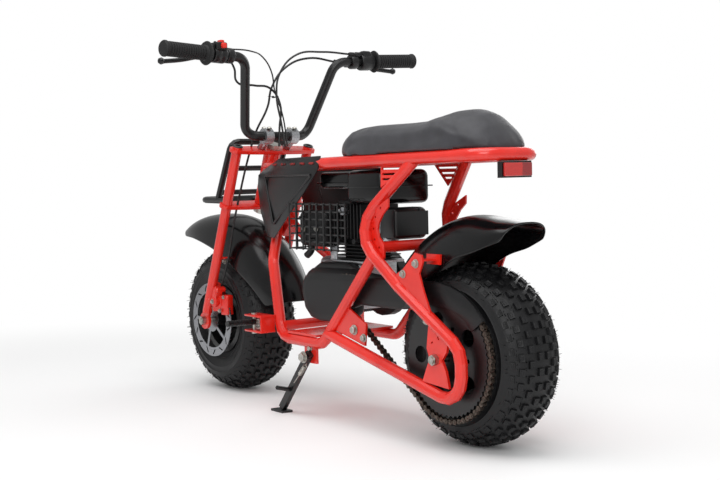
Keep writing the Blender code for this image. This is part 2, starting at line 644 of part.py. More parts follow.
# Seat: sections from front to back, (x, base z, top z, half width)
SEAT_TABLE = [(0.349, 0.570, 0.598, 0.062), (0.339, 0.566, 0.620, 0.074), (0.312, 0.5655, 0.632, 0.081),
              (0.250, 0.566, 0.6355, 0.084), (0.135, 0.5675, 0.6355, 0.085), (0.088, 0.568, 0.637, 0.085),
              (0.051, 0.5685, 0.644, 0.0855), (0.015, 0.569, 0.6545, 0.085), (-0.017, 0.5695, 0.656, 0.083),
              (-0.042, 0.570, 0.648, 0.078), (-0.068, 0.570, 0.624, 0.068), (-0.087, 0.5705, 0.598, 0.052),
              (-0.096, 0.571, 0.582, 0.036)]
sections = []
for x, low, high, half in SEAT_TABLE:
    edge = min(0.022, (high - low) * 0.45)
    sections.append([(x, -half + 0.006, low), (x, -half, low + 0.006), (x, -half, high - edge),
                     (x, -half + edge * 0.6, high - edge * 0.25), (x, -half * 0.45, high), (x, half * 0.45, high),
                     (x, half - edge * 0.6, high - edge * 0.25), (x, half, high - edge), (x, half, low + 0.006),
                     (x, half - 0.006, low)])
seat = loft("seat", sections)
seat = cut(seat, rail_clear("rail_cut"))
keep(seat, SEAT, "frame")

# Tail lamp under the end of the rail
LAMP_Z = 0.5387
keep(box("tail_lamp_housing", (0.012, 0.078, 0.031), (RAIL_END - 0.0055, 0.0, LAMP_Z)), BLACK, "frame")
keep(box("tail_lamp_lens", (0.005, 0.072, 0.025), (RAIL_END - 0.0143, 0.0, LAMP_Z), bevel=0.001), LENS, "frame")

keep(fender("rear_fender", REAR_FENDER, REAR_AXLE), GLOSS, "frame")

# Foot pegs on the cradle's front corners
peg = box("foot_peg_left", (0.030, 0.075, 0.018), (0.600, 0.166, 0.196), bevel=0.002)
peg = joined(peg, box("peg_bracket", (0.075, 0.024, 0.030), (0.575, 0.1245, 0.196)))
keep(mirrored(peg, "foot_peg_right"), RED, "frame")
keep(peg, RED, "frame")

# Rear axle with its nuts
NUT_R = 0.0108


def axle(name, centre, half, face):
    ob = rod(name, centre - Vector((0, half, 0)), centre + Vector((0, half, 0)), AXLE_R, 24)
    for side in (1, -1):
        start = centre + Vector((0, side * face, 0))
        ob = joined(ob, rod("nut", start, start + Vector((0, side * 0.010, 0)), NUT_R, 6))
    return ob


keep(axle("rear_axle", REAR_AXLE, 0.126, 0.1128), STEEL, "frame")

# Rear brake caliper, on the right
caliper = box("rear_caliper", (0.044, 0.021, 0.050), (0.070, -0.084, 0.250), bevel=0.002)
caliper = joined(caliper, box("hanger", (0.020, 0.016, 0.030), (0.070, -0.1000, 0.270)))
caliper = cut(caliper, tube("tube_cut", [Vector((p.x, -p.y, p.z)) for p in side_path], FRAME_R + GAP))
caliper = cut(caliper, rod("disc_slot", (0, -0.0775, WHEEL_R), (0, -0.0865, WHEEL_R), 0.095, 48))
keep(caliper, RED, "frame")

# Steering: clamps, fork legs, stem
turn = Matrix((AHEAD, Vector((0, 1, 0)), -DOWN)).transposed()


def clamp(name, s, depth):
    half = DOWN * (CLAMP_THICK / 2)
    ob = joined(box(name, (depth, 2 * FORK_Y, CLAMP_THICK), at(s), turn),
                rod("boss", at(s) - half * 0.98, at(s) + half * 0.98, CLAMP_BOSS_R, 20))
    for side in (1, -1):
        ring = at(s, 0, side * FORK_Y)
        ob = joined(ob, rod("ring", ring - half * 1.02, ring + half * 1.02, CLAMP_RING_R, 20))
    for side in (1, -1):
        ob = cut(ob, rod("leg_cut", at(s - 0.05, 0, side * FORK_Y), at(s + 0.05, 0, side * FORK_Y), FORK_R + GAP))
    return cut(ob, rod("stem_cut", at(s - 0.05), at(s + 0.05), STEM_R + GAP))


keep(clamp("upper_clamp", UPPER_CLAMP, CLAMP_ARM), RED, "steering")
keep(clamp("lower_clamp", LOWER_CLAMP, CLAMP_ARM), RED, "steering")
stem = rod("steering_stem", at(0.0), at(0.172), STEM_R)
stem = joined(stem, rod("stem_nut", at(-0.006), at(UPPER_CLAMP - CLAMP_THICK / 2 - GAP), 0.018, 6))
stem = joined(stem, rod("stem_foot", at(LOWER_CLAMP + CLAMP_THICK / 2 + GAP), at(0.170), 0.019))
keep(stem, STEEL, "steering")

fork = rod("fork_left", at(0.0, 0, FORK_Y), at(FORK_LENGTH - 0.024, 0, FORK_Y), FORK_R)
fork = joined(fork, rod("drop_out", FRONT_AXLE + Vector((0, FORK_Y - 0.0035, 0)),
                        FRONT_AXLE + Vector((0, FORK_Y + 0.0035, 0)), 0.021, 20),
              box("drop_out_neck", (0.026, 0.007, 0.040), at(FORK_LENGTH - 0.026, 0, FORK_Y), turn),
              cut(strap("fender_strap", at(0.290, 0, FORK_Y), at(0.290, 0, 0.0750), 0.022, 0.004),
                  fender("fender_cut", FRONT_FENDER, FRONT_AXLE, GAP)))
fork = cut(fork, rod("axle_hole", (WHEELBASE, 0.05, WHEEL_R), (WHEELBASE, 0.2, WHEEL_R), AXLE_R + GAP))
keep(mirrored(fork, "fork_right"), RED, "steering")
keep(fork, RED, "steering")
keep(axle("front_axle", FRONT_AXLE, 0.117, FORK_Y + 0.0035 + GAP), STEEL, "steering")

# Handlebar: a high bent bar in two clamps
BAR = [(0.596, 0.347, 0.8148), (0.620, 0.128, 0.806), (0.694, 0.088, 0.634), (0.680, 0.052, 0.630),
       (0.680, -0.052, 0.630), (0.694, -0.088, 0.634), (0.620, -0.128, 0.806), (0.596, -0.347, 0.8148)]
bar_path = rounded(BAR, [0.035, 0.030, 0.0, 0.0, 0.030, 0.035])
keep(tube("handlebar", bar_path, BAR_R, 12), BLACK, "steering")
for side, name in ((1, "bar_clamp_left"), (-1, "bar_clamp_right")):
    y = side * 0.036
    foot = at(UPPER_CLAMP - CLAMP_THICK / 2 - GAP, 0, y)
    ob = rod(name, (0.680, y - 0.011, 0.630), (0.680, y + 0.011, 0.630), 0.0185, 24)
    ob = joined(ob, rod("post", foot, Vector((0.680, y, 0.622)), 0.0095, 16))
    ob = cut(ob, rod("bar_cut", (0.680, y - 0.03, 0.630), (0.680, y + 0.03, 0.630), BAR_R + GAP, 14))
    ob = cut(ob, box("foot_cut", (0.10, 0.05, 0.020), foot + DOWN * 0.010, turn))
    keep(ob, ALLOY, "steering")

GRIP_IN, GRIP_OUT = 0.238, 0.352
along = (Vector(BAR[0]) - Vector(BAR[1])).normalized()


def on_bar(y):
    """A point on the middle of the left end of the bar."""
    start = Vector(BAR[1])
    return start + along * ((y - start.y) / along.y)


grip = rod("grip_left", on_bar(GRIP_IN), on_bar(GRIP_OUT), 0.0165, 20)
grip = joined(grip, rod("flange", on_bar(GRIP_IN - 0.004), on_bar(GRIP_IN + 0.003), 0.027, 24))
grip = cut(grip, rod("bar_cut", on_bar(0.15), on_bar(0.3476), BAR_R + 0.0005, 14))
keep(mirrored(grip, "grip_right"), RUBBER, "steering")
keep(grip, RUBBER, "steering")

switch = rod("switch_block", on_bar(0.190), on_bar(0.220), 0.019, 16)
switch = cut(switch, rod("bar_cut", on_bar(0.15), on_bar(0.3476), BAR_R + 0.0005, 14))
keep(switch, BLACK, "steering")
throttle = mirrored(cut(rod("t", on_bar(0.192), on_bar(0.232), 0.021, 16),
                        rod("bar_cut", on_bar(0.15), on_bar(0.3476), BAR_R + 0.0005, 14)), "throttle_housing")
keep(throttle, BLACK, "steering")

# Brake levers
lever_path = rounded([on_bar(0.182) + Vector((0.030, 0.0, -0.012)), on_bar(0.225) + Vector((0.050, 0, -0.014)),
                      on_bar(0.345) + Vector((0.055, 0, -0.016))], 0.02)
lever = tube("brake_lever_left", lever_path, 0.0055, 10)
perch = joined(rod("perch", on_bar(0.166), on_bar(0.186), 0.0165, 16),
               box("arm", (0.036, 0.018, 0.018), on_bar(0.177) + Vector((0.022, 0, -0.009))))
lever = joined(lever, perch)
lever = cut(lever, tube("bar_cut", [p for p in bar_path], BAR_R + 0.0005, 14))
keep(mirrored(lever, "brake_lever_right"), BLACK, "steering")
keep(lever, BLACK, "steering")

# Front rack
RACK_Y = 0.079
rack = tube("front_rack", rounded([(0.838, RACK_Y, 0.482), (0.768, RACK_Y, 0.620), (0.768, -RACK_Y, 0.620),
                                   (0.838, -RACK_Y, 0.482)], 0.020), RACK_R, 8)
for x, z in ((0.8005, 0.556), (0.830, 0.4975)):
    rack = joined(rack, rod("rail", (x, -RACK_Y, z), (x, RACK_Y, z), 0.0065, 8))
rack = joined(rack, tube("shelf", rounded([(0.782, RACK_Y, 0.4778), (0.915, RACK_Y, 0.4795), (0.915, -RACK_Y, 0.4795),
                                            (0.782, -RACK_Y, 0.4778)], 0.020), RACK_R, 8))
for side in (1, -1):
    rack = joined(rack, rod("stay", at(UPPER_CLAMP, 0.010, side * RACK_Y), (0.780, side * RACK_Y, 0.600), 0.0055, 8))
for s in (UPPER_CLAMP, LOWER_CLAMP):
    rack = cut(rack, box("clamp_cut", (CLAMP_ARM + 2 * GAP, 0.3, CLAMP_THICK + 2 * GAP), at(s), turn))
keep(rack, BLACK, "steering")

keep(fender("front_fender", FRONT_FENDER, FRONT_AXLE), GLOSS, "steering")
caliper = box("front_caliper", (0.040, 0.030, 0.052), (0.842, 0.0905, 0.246), turn, bevel=0.004)
caliper = cut(caliper, rod("disc_slot", (WHEELBASE, DISC_Y - 0.0045, WHEEL_R), (WHEELBASE, DISC_Y + 0.0045, WHEEL_R), 0.096, 48))
caliper = cut(caliper, rod("leg_cut", at(0.1, 0, FORK_Y), at(FORK_LENGTH, 0, FORK_Y), FORK_R + GAP))
keep(caliper, RED, "steering")

# Wheels. Tyre: (half width, radius) along the tread from the middle out, then the wall
TREAD = [(0.000, 0.1710), (0.017, 0.1700), (0.025, 0.1685), (0.043, 0.1625), (0.050, 0.1580), (0.062, 0.1450)]
WALL = [(0.0680, 0.120), (0.0500, 0.0860), (0.0500, 0.0768)]
LUG = 0.009
STEPS = 38


def tyre(name, centre):
    half = TREAD + WALL
    profile = [(r, y) for y, r in reversed(half)] + [(r, -y) for y, r in half[1:]]
    ob = turned(name, profile, centre, STEPS)
    ob.data.transform(Matrix.Translation(centre) @ Matrix.Rotation(math.pi / STEPS, 4, "Y") @ Matrix.Translation(-centre))
    shape = bmesh.new()
    shape.from_mesh(ob.data)
    shape.normal_update()
    lugs = []
    for face in shape.faces:
        out = face.calc_center_median() - centre
        radius, y = math.hypot(out.x, out.z), abs(out.y)
        slot = round(math.atan2(out.z, out.x) / (2 * math.pi) * STEPS) % STEPS
        middle = y < 0.017 and slot % 2 == 0
        next_row = 0.025 < y < 0.043 and slot % 2 == 1
        shoulder = 0.050 < y < 0.062 and slot % 2 == 0
        if radius > 0.14 and (middle or next_row or shoulder):
            lugs.append(face)
    raised = bmesh.ops.extrude_face_region(shape, geom=lugs)
    verts = [v for v in raised["geom"] if isinstance(v, bmesh.types.BMVert)]
    for v in verts:
        out = v.co - centre
        y, out.y = out.y, 0.0
        direction = out.normalized() * 0.95 + Vector((0, 0.55 * y / 0.062 if abs(y) > 0.045 else 0.0, 0))
        v.co += direction.normalized() * LUG
    bmesh.ops.delete(shape, geom=lugs, context="FACES")
    bmesh.ops.recalc_face_normals(shape, faces=shape.faces)
    shape.to_mesh(ob.data)
    shape.free()
    return ob


def rim(name, centre, left, right):
    """The hub's ends are left and right of the middle."""
    profile = [(AXLE_R + 0.0005, left), (0.028, left), (0.028, 0.012), (0.066, 0.008), (0.070, 0.0535),
               (0.0835, 0.0535), (0.0835, 0.0503), (RIM_R, 0.0503), (RIM_R, -0.0503), (0.0835, -0.0503),
               (0.0835, -0.0535), (0.070, -0.0535), (0.066, -0.008), (0.028, -0.012),
               (0.028, -right), (AXLE_R + 0.0005, -right)]
    return turned(name, profile, centre, 20)


def round_ring(centre, radius, count, hole, sides=10, start=0.0):
    """Round holes spaced evenly about a centre."""
    return [circle(centre.x + radius * math.cos(start + 2 * math.pi * i / count),
                   centre.z + radius * math.sin(start + 2 * math.pi * i / count), hole, sides) for i in range(count)]


def spoked(name, y, centre, radius, inner, hub, spokes, thick, web, slots=0):
    """A brake disc: a slotted ring, a hub ring and spokes between them."""
    holes = []
    for i in range(spokes):
        a = 2 * math.pi * i / spokes
        span = 2 * math.pi / spokes
        arc = [(inner, a + web / inner + (span - 2 * web / inner) * j / 5) for j in range(6)]
        back = [(hub, a + span - web / hub - (span - 2 * web / hub) * j / 3) for j in range(4)]
        holes.append([(centre.x + r * math.cos(t), centre.z + r * math.sin(t)) for r, t in arc + back])
    for i in range(slots):
        a = 2 * math.pi * i / slots
        near, far, turn = inner + 0.0045, radius - 0.0045, 0.07 if i % 2 else -0.07
        holes.append([(centre.x + r * math.cos(t), centre.z + r * math.sin(t))
                      for r, t in ((near, a - 0.035 - turn), (near, a + 0.035 - turn), (far, a + 0.03 + turn), (far, a - 0.03 + turn))])
    holes.append(circle(centre.x, centre.z, AXLE_R + 0.0005, 24))
    return plate(name, circle(centre.x, centre.z, radius, 40), y, thick, holes)


def sprocket(name, y, centre):
    """A toothed disc with large and small round holes."""
    outline = []
    for i in range(SPROCKET_TEETH):
        for share, radius in ((0.0, SPROCKET_R - TOOTH), (0.5, SPROCKET_R)):
            a = 2 * math.pi * (i + share) / SPROCKET_TEETH
            outline.append((centre.x + radius * math.cos(a), centre.z + radius * math.sin(a)))
    holes = round_ring(centre, 0.075, 5, 0.017, 12) + round_ring(centre, 0.060, 5, 0.005, 6, math.pi / 5) + [circle(centre.x, centre.z, AXLE_R + 0.0005, 24)]
    return plate(name, outline, y, 0.004, holes)


keep(tyre("front_tyre", FRONT_AXLE), TYRE, "front_wheel")
keep(rim("front_rim", FRONT_AXLE, DISC_Y - 0.0015 - GAP, 0.0845), BLACK, "front_wheel")
keep(spoked("front_brake_disc", DISC_Y, FRONT_AXLE, DISC_R, 0.070, 0.030, 5, 0.003, 0.004, 15), STEEL, "front_wheel")
keep(tyre("rear_tyre", REAR_AXLE), TYRE, "rear_wheel")
keep(rim("rear_rim", REAR_AXLE, SPROCKET_Y - 0.002 - GAP, 0.0802), BLACK, "rear_wheel")
keep(sprocket("rear_sprocket", SPROCKET_Y, REAR_AXLE), BLACK, "rear_wheel")
keep(spoked("rear_brake_disc", -0.0820, REAR_AXLE, 0.080, 0.060, 0.030, 5, 0.003, 0.006), STEEL, "rear_wheel")

# Side stand: a square leg on a pivot bolt, with a foot plate and a kick tang
leg = STAND_FOOT - STAND_PIVOT
slope = Matrix.Rotation(math.atan2(leg.x, -leg.z), 3, "Y").inverted()
stand = box("side_stand", (0.016, 0.012, leg.length + 0.004), STAND_PIVOT + leg * 0.5 - leg.normalized() * 0.008, slope)
lean_turn = Matrix.Rotation(-LEAN, 3, "X")
low = min((lean_turn @ v.co).z for v in made["rear_wheel"][0].data.vertices)
foot_low = lean_turn @ STAND_FOOT
foot_low.z = low + 0.0025
stand = joined(stand, box("foot", (0.046, 0.028, 0.005), lean_turn.inverted() @ foot_low, lean_turn.inverted()))
stand = joined(stand, rod("tang", STAND_PIVOT + leg * 0.62, STAND_PIVOT + leg * 0.62 + Vector((-0.010, 0.045, 0.012)), 0.005, 10))
stand = joined(stand, rod("bolt", STAND_PIVOT, STAND_PIVOT + Vector((0, 0.012, 0)), 0.009, 6))
keep(stand, RED, "side_stand")

# Bodies: each moving one hangs on an empty on its joint's axis
JOINTS = {"frame": Vector((0, 0, 0)), "steering": CAP, "front_wheel": FRONT_AXLE, "rear_wheel": REAR_AXLE,
          "side_stand": STAND_PIVOT}
root = bpy.data.objects.new("bike_on_its_stand", None)
bpy.context.scene.collection.objects.link(root)
for body, pieces in made.items():
    pivot = bpy.data.objects.new(body + "_joint", None)
    bpy.context.scene.collection.objects.link(pivot)
    pivot.location = JOINTS[body]
    pivot.parent = root
    for piece in pieces:
        piece.parent = pivot
        piece.location = -JOINTS[body]
        if body != "frame" or True:
            piece.data.shade_smooth()
            piece.data.set_sharp_from_angle(angle=math.radians(30))
root.rotation_euler.x = -LEAN
bpy.context.view_layer.update()
corners = [piece.matrix_world @ v.co for pieces in made.values() for piece in pieces for v in piece.data.vertices]
low, high = [Vector([pick(c[i] for c in corners) for i in range(3)]) for pick in (min, max)]
root.location = (-(low.x + high.x) / 2, -(low.y + high.y) / 2, -low.z)
bpy.context.view_layer.update()
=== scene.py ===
import json
import math
import random

import bmesh
import bpy
from mathutils import Matrix, Vector

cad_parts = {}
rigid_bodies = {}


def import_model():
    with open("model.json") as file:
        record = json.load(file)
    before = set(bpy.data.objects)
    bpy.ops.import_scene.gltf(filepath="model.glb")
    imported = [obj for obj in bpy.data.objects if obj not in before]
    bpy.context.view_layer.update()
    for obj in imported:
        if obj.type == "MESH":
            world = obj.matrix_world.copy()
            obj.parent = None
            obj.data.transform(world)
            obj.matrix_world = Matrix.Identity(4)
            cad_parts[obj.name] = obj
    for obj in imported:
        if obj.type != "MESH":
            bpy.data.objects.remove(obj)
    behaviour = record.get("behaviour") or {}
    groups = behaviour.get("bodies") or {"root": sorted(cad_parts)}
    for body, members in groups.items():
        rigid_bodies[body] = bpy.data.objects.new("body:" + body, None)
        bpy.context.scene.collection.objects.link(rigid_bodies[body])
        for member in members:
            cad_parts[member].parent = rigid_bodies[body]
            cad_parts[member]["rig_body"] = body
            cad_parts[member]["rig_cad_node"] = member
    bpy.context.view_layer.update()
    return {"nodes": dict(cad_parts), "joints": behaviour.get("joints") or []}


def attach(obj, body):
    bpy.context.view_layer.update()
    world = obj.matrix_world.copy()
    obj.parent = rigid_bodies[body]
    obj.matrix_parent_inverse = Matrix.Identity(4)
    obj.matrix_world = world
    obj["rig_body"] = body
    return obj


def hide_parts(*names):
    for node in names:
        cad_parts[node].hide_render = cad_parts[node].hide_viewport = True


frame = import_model()
nodes = frame["nodes"]
print("frame loaded:", len(nodes), "nodes")

# The bike is modelled upright, from the ground under the rear axle, and leans onto its side stand.
bike = {"lean": 2.2, "wheelbase": 0.878, "wheelRadius": 0.180}
joints = {joint["name"]: joint for joint in frame["joints"]}
leanTurn = Matrix.Rotation(math.radians(-bike["lean"]), 4, "X")
rearAxle = Vector((0, 0, bike["wheelRadius"]))
frontAxle = Vector((bike["wheelbase"], 0, bike["wheelRadius"]))
parked = Matrix.Translation(Vector(joints["rear_wheel_spin"]["pos_m"]) - leanTurn @ rearAxle) @ leanTurn


# Colours and materials

def hexColour(code):
    channels = [int(code[i:i + 2], 16) / 255 for i in (1, 3, 5)]
    return [c / 12.92 if c < 0.04045 else ((c + 0.055) / 1.055) ** 2.4 for c in channels] + [1]


def perMetre(millimetres):
    return 1000 / millimetres


def setInputs(material, node, inputs):
    for key, value in inputs.items():
        if isinstance(value, bpy.types.NodeSocket):
            material.node_tree.links.new(value, node.inputs[key])
        elif isinstance(value, str):
            node.inputs[key].default_value = hexColour(value)
        else:
            node.inputs[key].default_value = value


def addNode(material, kind, settings=None, stops=None, **inputs):
    node = material.node_tree.nodes.new("ShaderNode" + kind)
    for key, value in (settings or {}).items():
        setattr(node, key, value)
    for place, code in stops or []:
        stop = node.color_ramp.elements.new(place)
        stop.color = hexColour(code)
    if stops:
        node.color_ramp.elements.remove(node.color_ramp.elements[-1])
        node.color_ramp.elements.remove(node.color_ramp.elements[0])
    setInputs(material, node, {key.replace("_", " "): value for key, value in inputs.items()})
    return node


def newMaterial(name, **inputs):
    # A material with its shader set, and the place on the piece that its patterns read
    made = bpy.data.materials.new(name)
    made.use_nodes = True
    addToShader(made, **inputs)
    return made, addNode(made, "TexCoord").outputs["Object"]


def addToShader(material, **inputs):
    setInputs(material, material.node_tree.nodes["Principled BSDF"],
              {key.replace("_", " "): value for key, value in inputs.items()})


def surface(made, pattern, stops, rough=None, bump=None, relief=None):
    # Colour, dullness and relief that follow one pattern; the relief may follow another one
    links = {"Base_Color": addNode(made, "ValToRGB", stops=stops, Fac=pattern).outputs["Color"]}
    if rough:
        links["Roughness"] = addNode(made, "MapRange", Value=pattern, **rough).outputs["Result"]
    if bump:
        strength, depth = bump
        links["Normal"] = addNode(made, "Bump", Height=pattern if relief is None else relief, Strength=strength,
                                  Distance=depth).outputs["Normal"]
    addToShader(made, **links)
    return made


print("making the materials")

# Finishes whose colour follows a soft cloud: the cloud's size in mm and its detail, its two colours, the roughness it
# gives and the strength and depth of the relief, which follows the cloud, or a grain of its own size and detail
cloudy = {
    # Powder-coated steel: a thick gloss skin with a faint orange peel, deeper red where it turns away
    "redEnamel": {"shader": {"Roughness": 0.26, "IOR": 1.5, "Coat_Weight": 0.4, "Coat_Roughness": 0.06},
                  "cloud": (60, 3.0), "stops": [(0.3, "#D61E12"), (0.7, "#E5281A")],
                  "grain": (3, 2.0), "bump": (0.12, 0.0004)},
    # Black powder coat on tube and sheet steel: satin, with a fine even grain
    "blackPowderCoat": {"shader": {"IOR": 1.5}, "cloud": (45, 4.0), "stops": [(0.3, "#0A0A0B"), (0.75, "#121214")],
                        "rough": {"To_Min": 0.28, "To_Max": 0.42}, "grain": (0.9, 2.0), "bump": (0.15, 0.0002)},
    # Injection-moulded black plastic: mirror gloss over a slow waviness, with light handling haze
    "glossPolypropylene": {"shader": {"IOR": 1.49, "Specular_IOR_Level": 0.38}, "cloud": (35, 5.0),
                           "stops": [(0.35, "#040405"), (0.7, "#09090B")],
                           "rough": {"From_Min": 0.35, "From_Max": 0.75, "To_Min": 0.15, "To_Max": 0.26},
                           "grain": (50, 1.0), "bump": (0.15, 0.001)},
    # Heat-proof black paint over sand-cast metal: matt, pebbled, greyer on the high spots
    "castBlack": {"shader": {"IOR": 1.5, "Specular_IOR_Level": 0.38}, "cloud": (1.6, 4.0),
                  "stops": [(0.35, "#0B0B0C"), (0.7, "#18181A")], "rough": {"To_Min": 0.42, "To_Max": 0.6},
                  "bump": (0.3, 0.0004)},
    # Bare die-cast aluminium: dull silver with a fine skin and darker pits
    "castAluminium": {"shader": {"Metallic": 1.0}, "cloud": (2, 5.0), "stops": [(0.3, "#8F9194"), (0.65, "#C4C6C9")],
                      "rough": {"To_Min": 0.5, "To_Max": 0.28}, "bump": (0.2, 0.0003)},
    # Bright zinc plating on bolts and axles: grey silver with a faint warm bloom
    "zincPlate": {"shader": {"Metallic": 1.0}, "cloud": (7, 4.0), "stops": [(0.3, "#9A978E"), (0.7, "#C6C5C0")],
                  "rough": {"To_Min": 0.24, "To_Max": 0.42}, "bump": (0.08, 0.0002)},
    # Vulcanised rubber: deep grey black, chalky in places, with a fine moulded grain
    "tyreRubber": {"shader": {"IOR": 1.52, "Specular_IOR_Level": 0.35}, "cloud": (30, 6.0),
                   "stops": [(0.3, "#08080A"), (0.7, "#121214")], "rough": {"To_Min": 0.36, "To_Max": 0.62},
                   "grain": (1.2, 3.0), "bump": (0.25, 0.0003)},
    # Chain and sprocket steel: dark brown grey under oil, bright where the links rub
    "oiledChainSteel": {"shader": {"Metallic": 0.9}, "cloud": (5, 4.0), "stops": [(0.3, "#2E2722"), (0.7, "#6B6058")],
                        "rough": {"To_Min": 0.5, "To_Max": 0.3}, "bump": (0.15, 0.0003)},
    # Moulded switch rockers: warm red plastic, satin
    "redPlastic": {"shader": {"IOR": 1.5}, "cloud": (2, 3.0), "stops": [(0.3, "#D52A22"), (0.7, "#E8372C")],
                   "rough": {"To_Min": 0.28, "To_Max": 0.42}},
    # Cable housing: black vinyl over wound wire, semi-gloss, with faint wear along it
    "blackSheath": {"shader": {"IOR": 1.5}, "cloud": (9, 3.0), "stops": [(0.3, "#0D0D0E"), (0.7, "#1B1B1C")],
                    "rough": {"To_Min": 0.25, "To_Max": 0.45}},
    # Moulded belt cover: fine-textured black nylon, satin, a touch lighter in its haze
    "coverBlack": {"shader": {"IOR": 1.5, "Specular_IOR_Level": 0.38}, "cloud": (50, 3.0),
                   "stops": [(0.35, "#09090A"), (0.7, "#121214")], "rough": {"To_Min": 0.30, "To_Max": 0.45},
                   "grain": (1.1, 3.0), "bump": (0.2, 0.0002)},
    # Painted shade: a dim red for the solid pieces set in the shield's slots, standing for the red neck seen dimly in
    # shadow behind them
    "slotRed": {"shader": {"IOR": 1.5, "Roughness": 0.6}, "cloud": (8, 2.0),
                "stops": [(0.40, "#3A0909"), (0.6, "#8E1613")]},
}


def cloudyMaterial(name):
    look = cloudy[name]
    made, place = newMaterial(name, **look["shader"])
    patterns = []
    for size, detail in [look[part] for part in ("cloud", "grain") if part in look]:
        noise = addNode(made, "TexNoise", Vector=place, Scale=perMetre(size), Detail=detail)
        patterns.append(noise.outputs["Fac"])
    return surface(made, patterns[0], look["stops"], look.get("rough"), look.get("bump"), patterns[-1])


def turnedSteel(name, centre):
    # Ground stainless steel of a brake disc: fine rings round the axle catch the light as a fan
    made, place = newMaterial(name, Metallic=1.0, Anisotropic=0.4)
    about = addNode(made, "Mapping", Vector=place, Location=-centre)
    across = addNode(made, "VectorMath", {"operation": "MULTIPLY"})
    made.node_tree.links.new(about.outputs["Vector"], across.inputs[0])
    across.inputs[1].default_value = (1, 0, 1)
    reach = addNode(made, "VectorMath", {"operation": "LENGTH"})
    made.node_tree.links.new(across.outputs["Vector"], reach.inputs[0])
    rings = addNode(made, "TexNoise", {"noise_dimensions": "1D"}, W=reach.outputs["Value"], Scale=perMetre(0.7),
                    Detail=3.0).outputs["Fac"]
    return surface(made, rings, [(0.3, "#77787C"), (0.7, "#A9AAAE")], {"To_Min": 0.2, "To_Max": 0.38}, (0.2, 0.0002))


def gripRubber():
    # Soft moulded grip rubber: matt black with a close pebble
    made, place = newMaterial("gripRubber", IOR=1.5)
    pebble = addNode(made, "TexVoronoi", Vector=place, Scale=perMetre(1.5)).outputs["Distance"]
    return surface(made, pebble, [(0.1, "#1C1C1D"), (0.7, "#0F0F10")], {"To_Min": 0.62, "To_Max": 0.8}, (0.3, 0.0003))


def seatVinyl():
    # Embossed vinyl over foam: charcoal, with a leather grain of small cells and a soft sheen
    made, place = newMaterial("seatVinyl", IOR=1.45, Sheen_Weight=0.15, Sheen_Roughness=0.5)
    cells = addNode(made, "TexVoronoi", {"feature": "DISTANCE_TO_EDGE"}, Vector=place,
                    Scale=perMetre(1.8)).outputs["Distance"]
    crease = addNode(made, "MapRange", Value=cells, From_Max=0.12).outputs["Result"]
    soft = addNode(made, "TexNoise", Vector=place, Scale=perMetre(25), Detail=4.0).outputs["Fac"]
    rough = addNode(made, "MapRange", Value=crease, To_Min=0.62, To_Max=0.46)
    addToShader(made, Roughness=rough.outputs["Result"])
    return surface(made, soft, [(0.3, "#2B2B2F"), (0.75, "#38383D")], None, (0.25, 0.0003), crease)


def lampRed():
    # Moulded acrylic lens: clear gloss over small prisms, two reds side by side
    made, place = newMaterial("lampRed", Roughness=0.08, IOR=1.49, Coat_Weight=1.0, Coat_Roughness=0.03)
    across = addNode(made, "SeparateXYZ", Vector=place).outputs["Y"]
    halves = addNode(made, "MapRange", Value=across, From_Min=-0.06, From_Max=0.02).outputs["Result"]
    prisms = addNode(made, "TexVoronoi", {"distance": "CHEBYCHEV"}, Vector=place, Scale=perMetre(4),
                     Randomness=0.0).outputs["Distance"]
    return surface(made, halves, [(0.49, "#8E0F13"), (0.51, "#C4221C")], None, (0.4, 0.001), prisms)


finish = {"vinyl": seatVinyl(), "grip": gripRubber(), "lamp": lampRed(),
          "frontDisc": turnedSteel("groundDiscFront", parked @ frontAxle),
          "rearDisc": turnedSteel("groundDiscRear", parked @ rearAxle)}
for kind, name in {"red": "redEnamel", "black": "blackPowderCoat", "gloss": "glossPolypropylene",
                   "castBlack": "castBlack", "castAlu": "castAluminium", "zinc": "zincPlate", "tyre": "tyreRubber",
                   "chain": "oiledChainSteel", "redPlastic": "redPlastic", "sheath": "blackSheath",
                   "coverBlack": "coverBlack", "slotRed": "slotRed"}.items():
    finish[kind] = cloudyMaterial(name)

nodesOfFinish = {
    "red": ["seat_rail", "head_tube", "side_tube_left", "side_tube_right", "cradle_left", "cradle_right",
            "front_cross_tube", "rear_cross_tube", "engine_plate", "upper_clamp", "lower_clamp", "fork_left",
            "fork_right", "front_caliper", "rear_caliper", "foot_peg_left", "foot_peg_right"],
    "black": ["handlebar", "front_rack", "front_rim", "rear_rim", "neck_shield_left", "neck_shield_right",
              "drive_cover", "switch_block", "throttle_housing", "brake_lever_left", "brake_lever_right",
              "rear_sprocket", "tail_lamp_housing", "side_stand", "muffler_cage"],
    "gloss": ["front_fender", "rear_fender", "fuel_tank"],
    "castBlack": ["engine", "muffler", "air_filter", "recoil_starter"],
    "castAlu": ["bar_clamp_left", "bar_clamp_right"],
    "zinc": ["front_axle", "rear_axle", "steering_stem"],
    "tyre": ["front_tyre", "rear_tyre"],
    "grip": ["grip_left", "grip_right"],
    "chain": ["drive_chain"],
    "lamp": ["tail_lamp_lens"],
    "frontDisc": ["front_brake_disc"],
    "rearDisc": ["rear_brake_disc"],
}
for kind, names in nodesOfFinish.items():
    for name in names:
        if name in nodes:
            nodes[name].data.materials.clear()
            nodes[name].data.materials.append(finish[kind])


# Working with meshes

def deselectAll():
    if bpy.context.mode != "OBJECT":
        bpy.ops.object.mode_set(mode="OBJECT")
    bpy.ops.object.select_all(action="DESELECT")


def pick(ob):
    deselectAll()
    ob.select_set(True)
    bpy.context.view_layer.objects.active = ob
    return ob


def smoothBy(ob, degrees):
    pick(ob)
    bpy.ops.object.shade_smooth_by_angle(angle=math.radians(degrees))


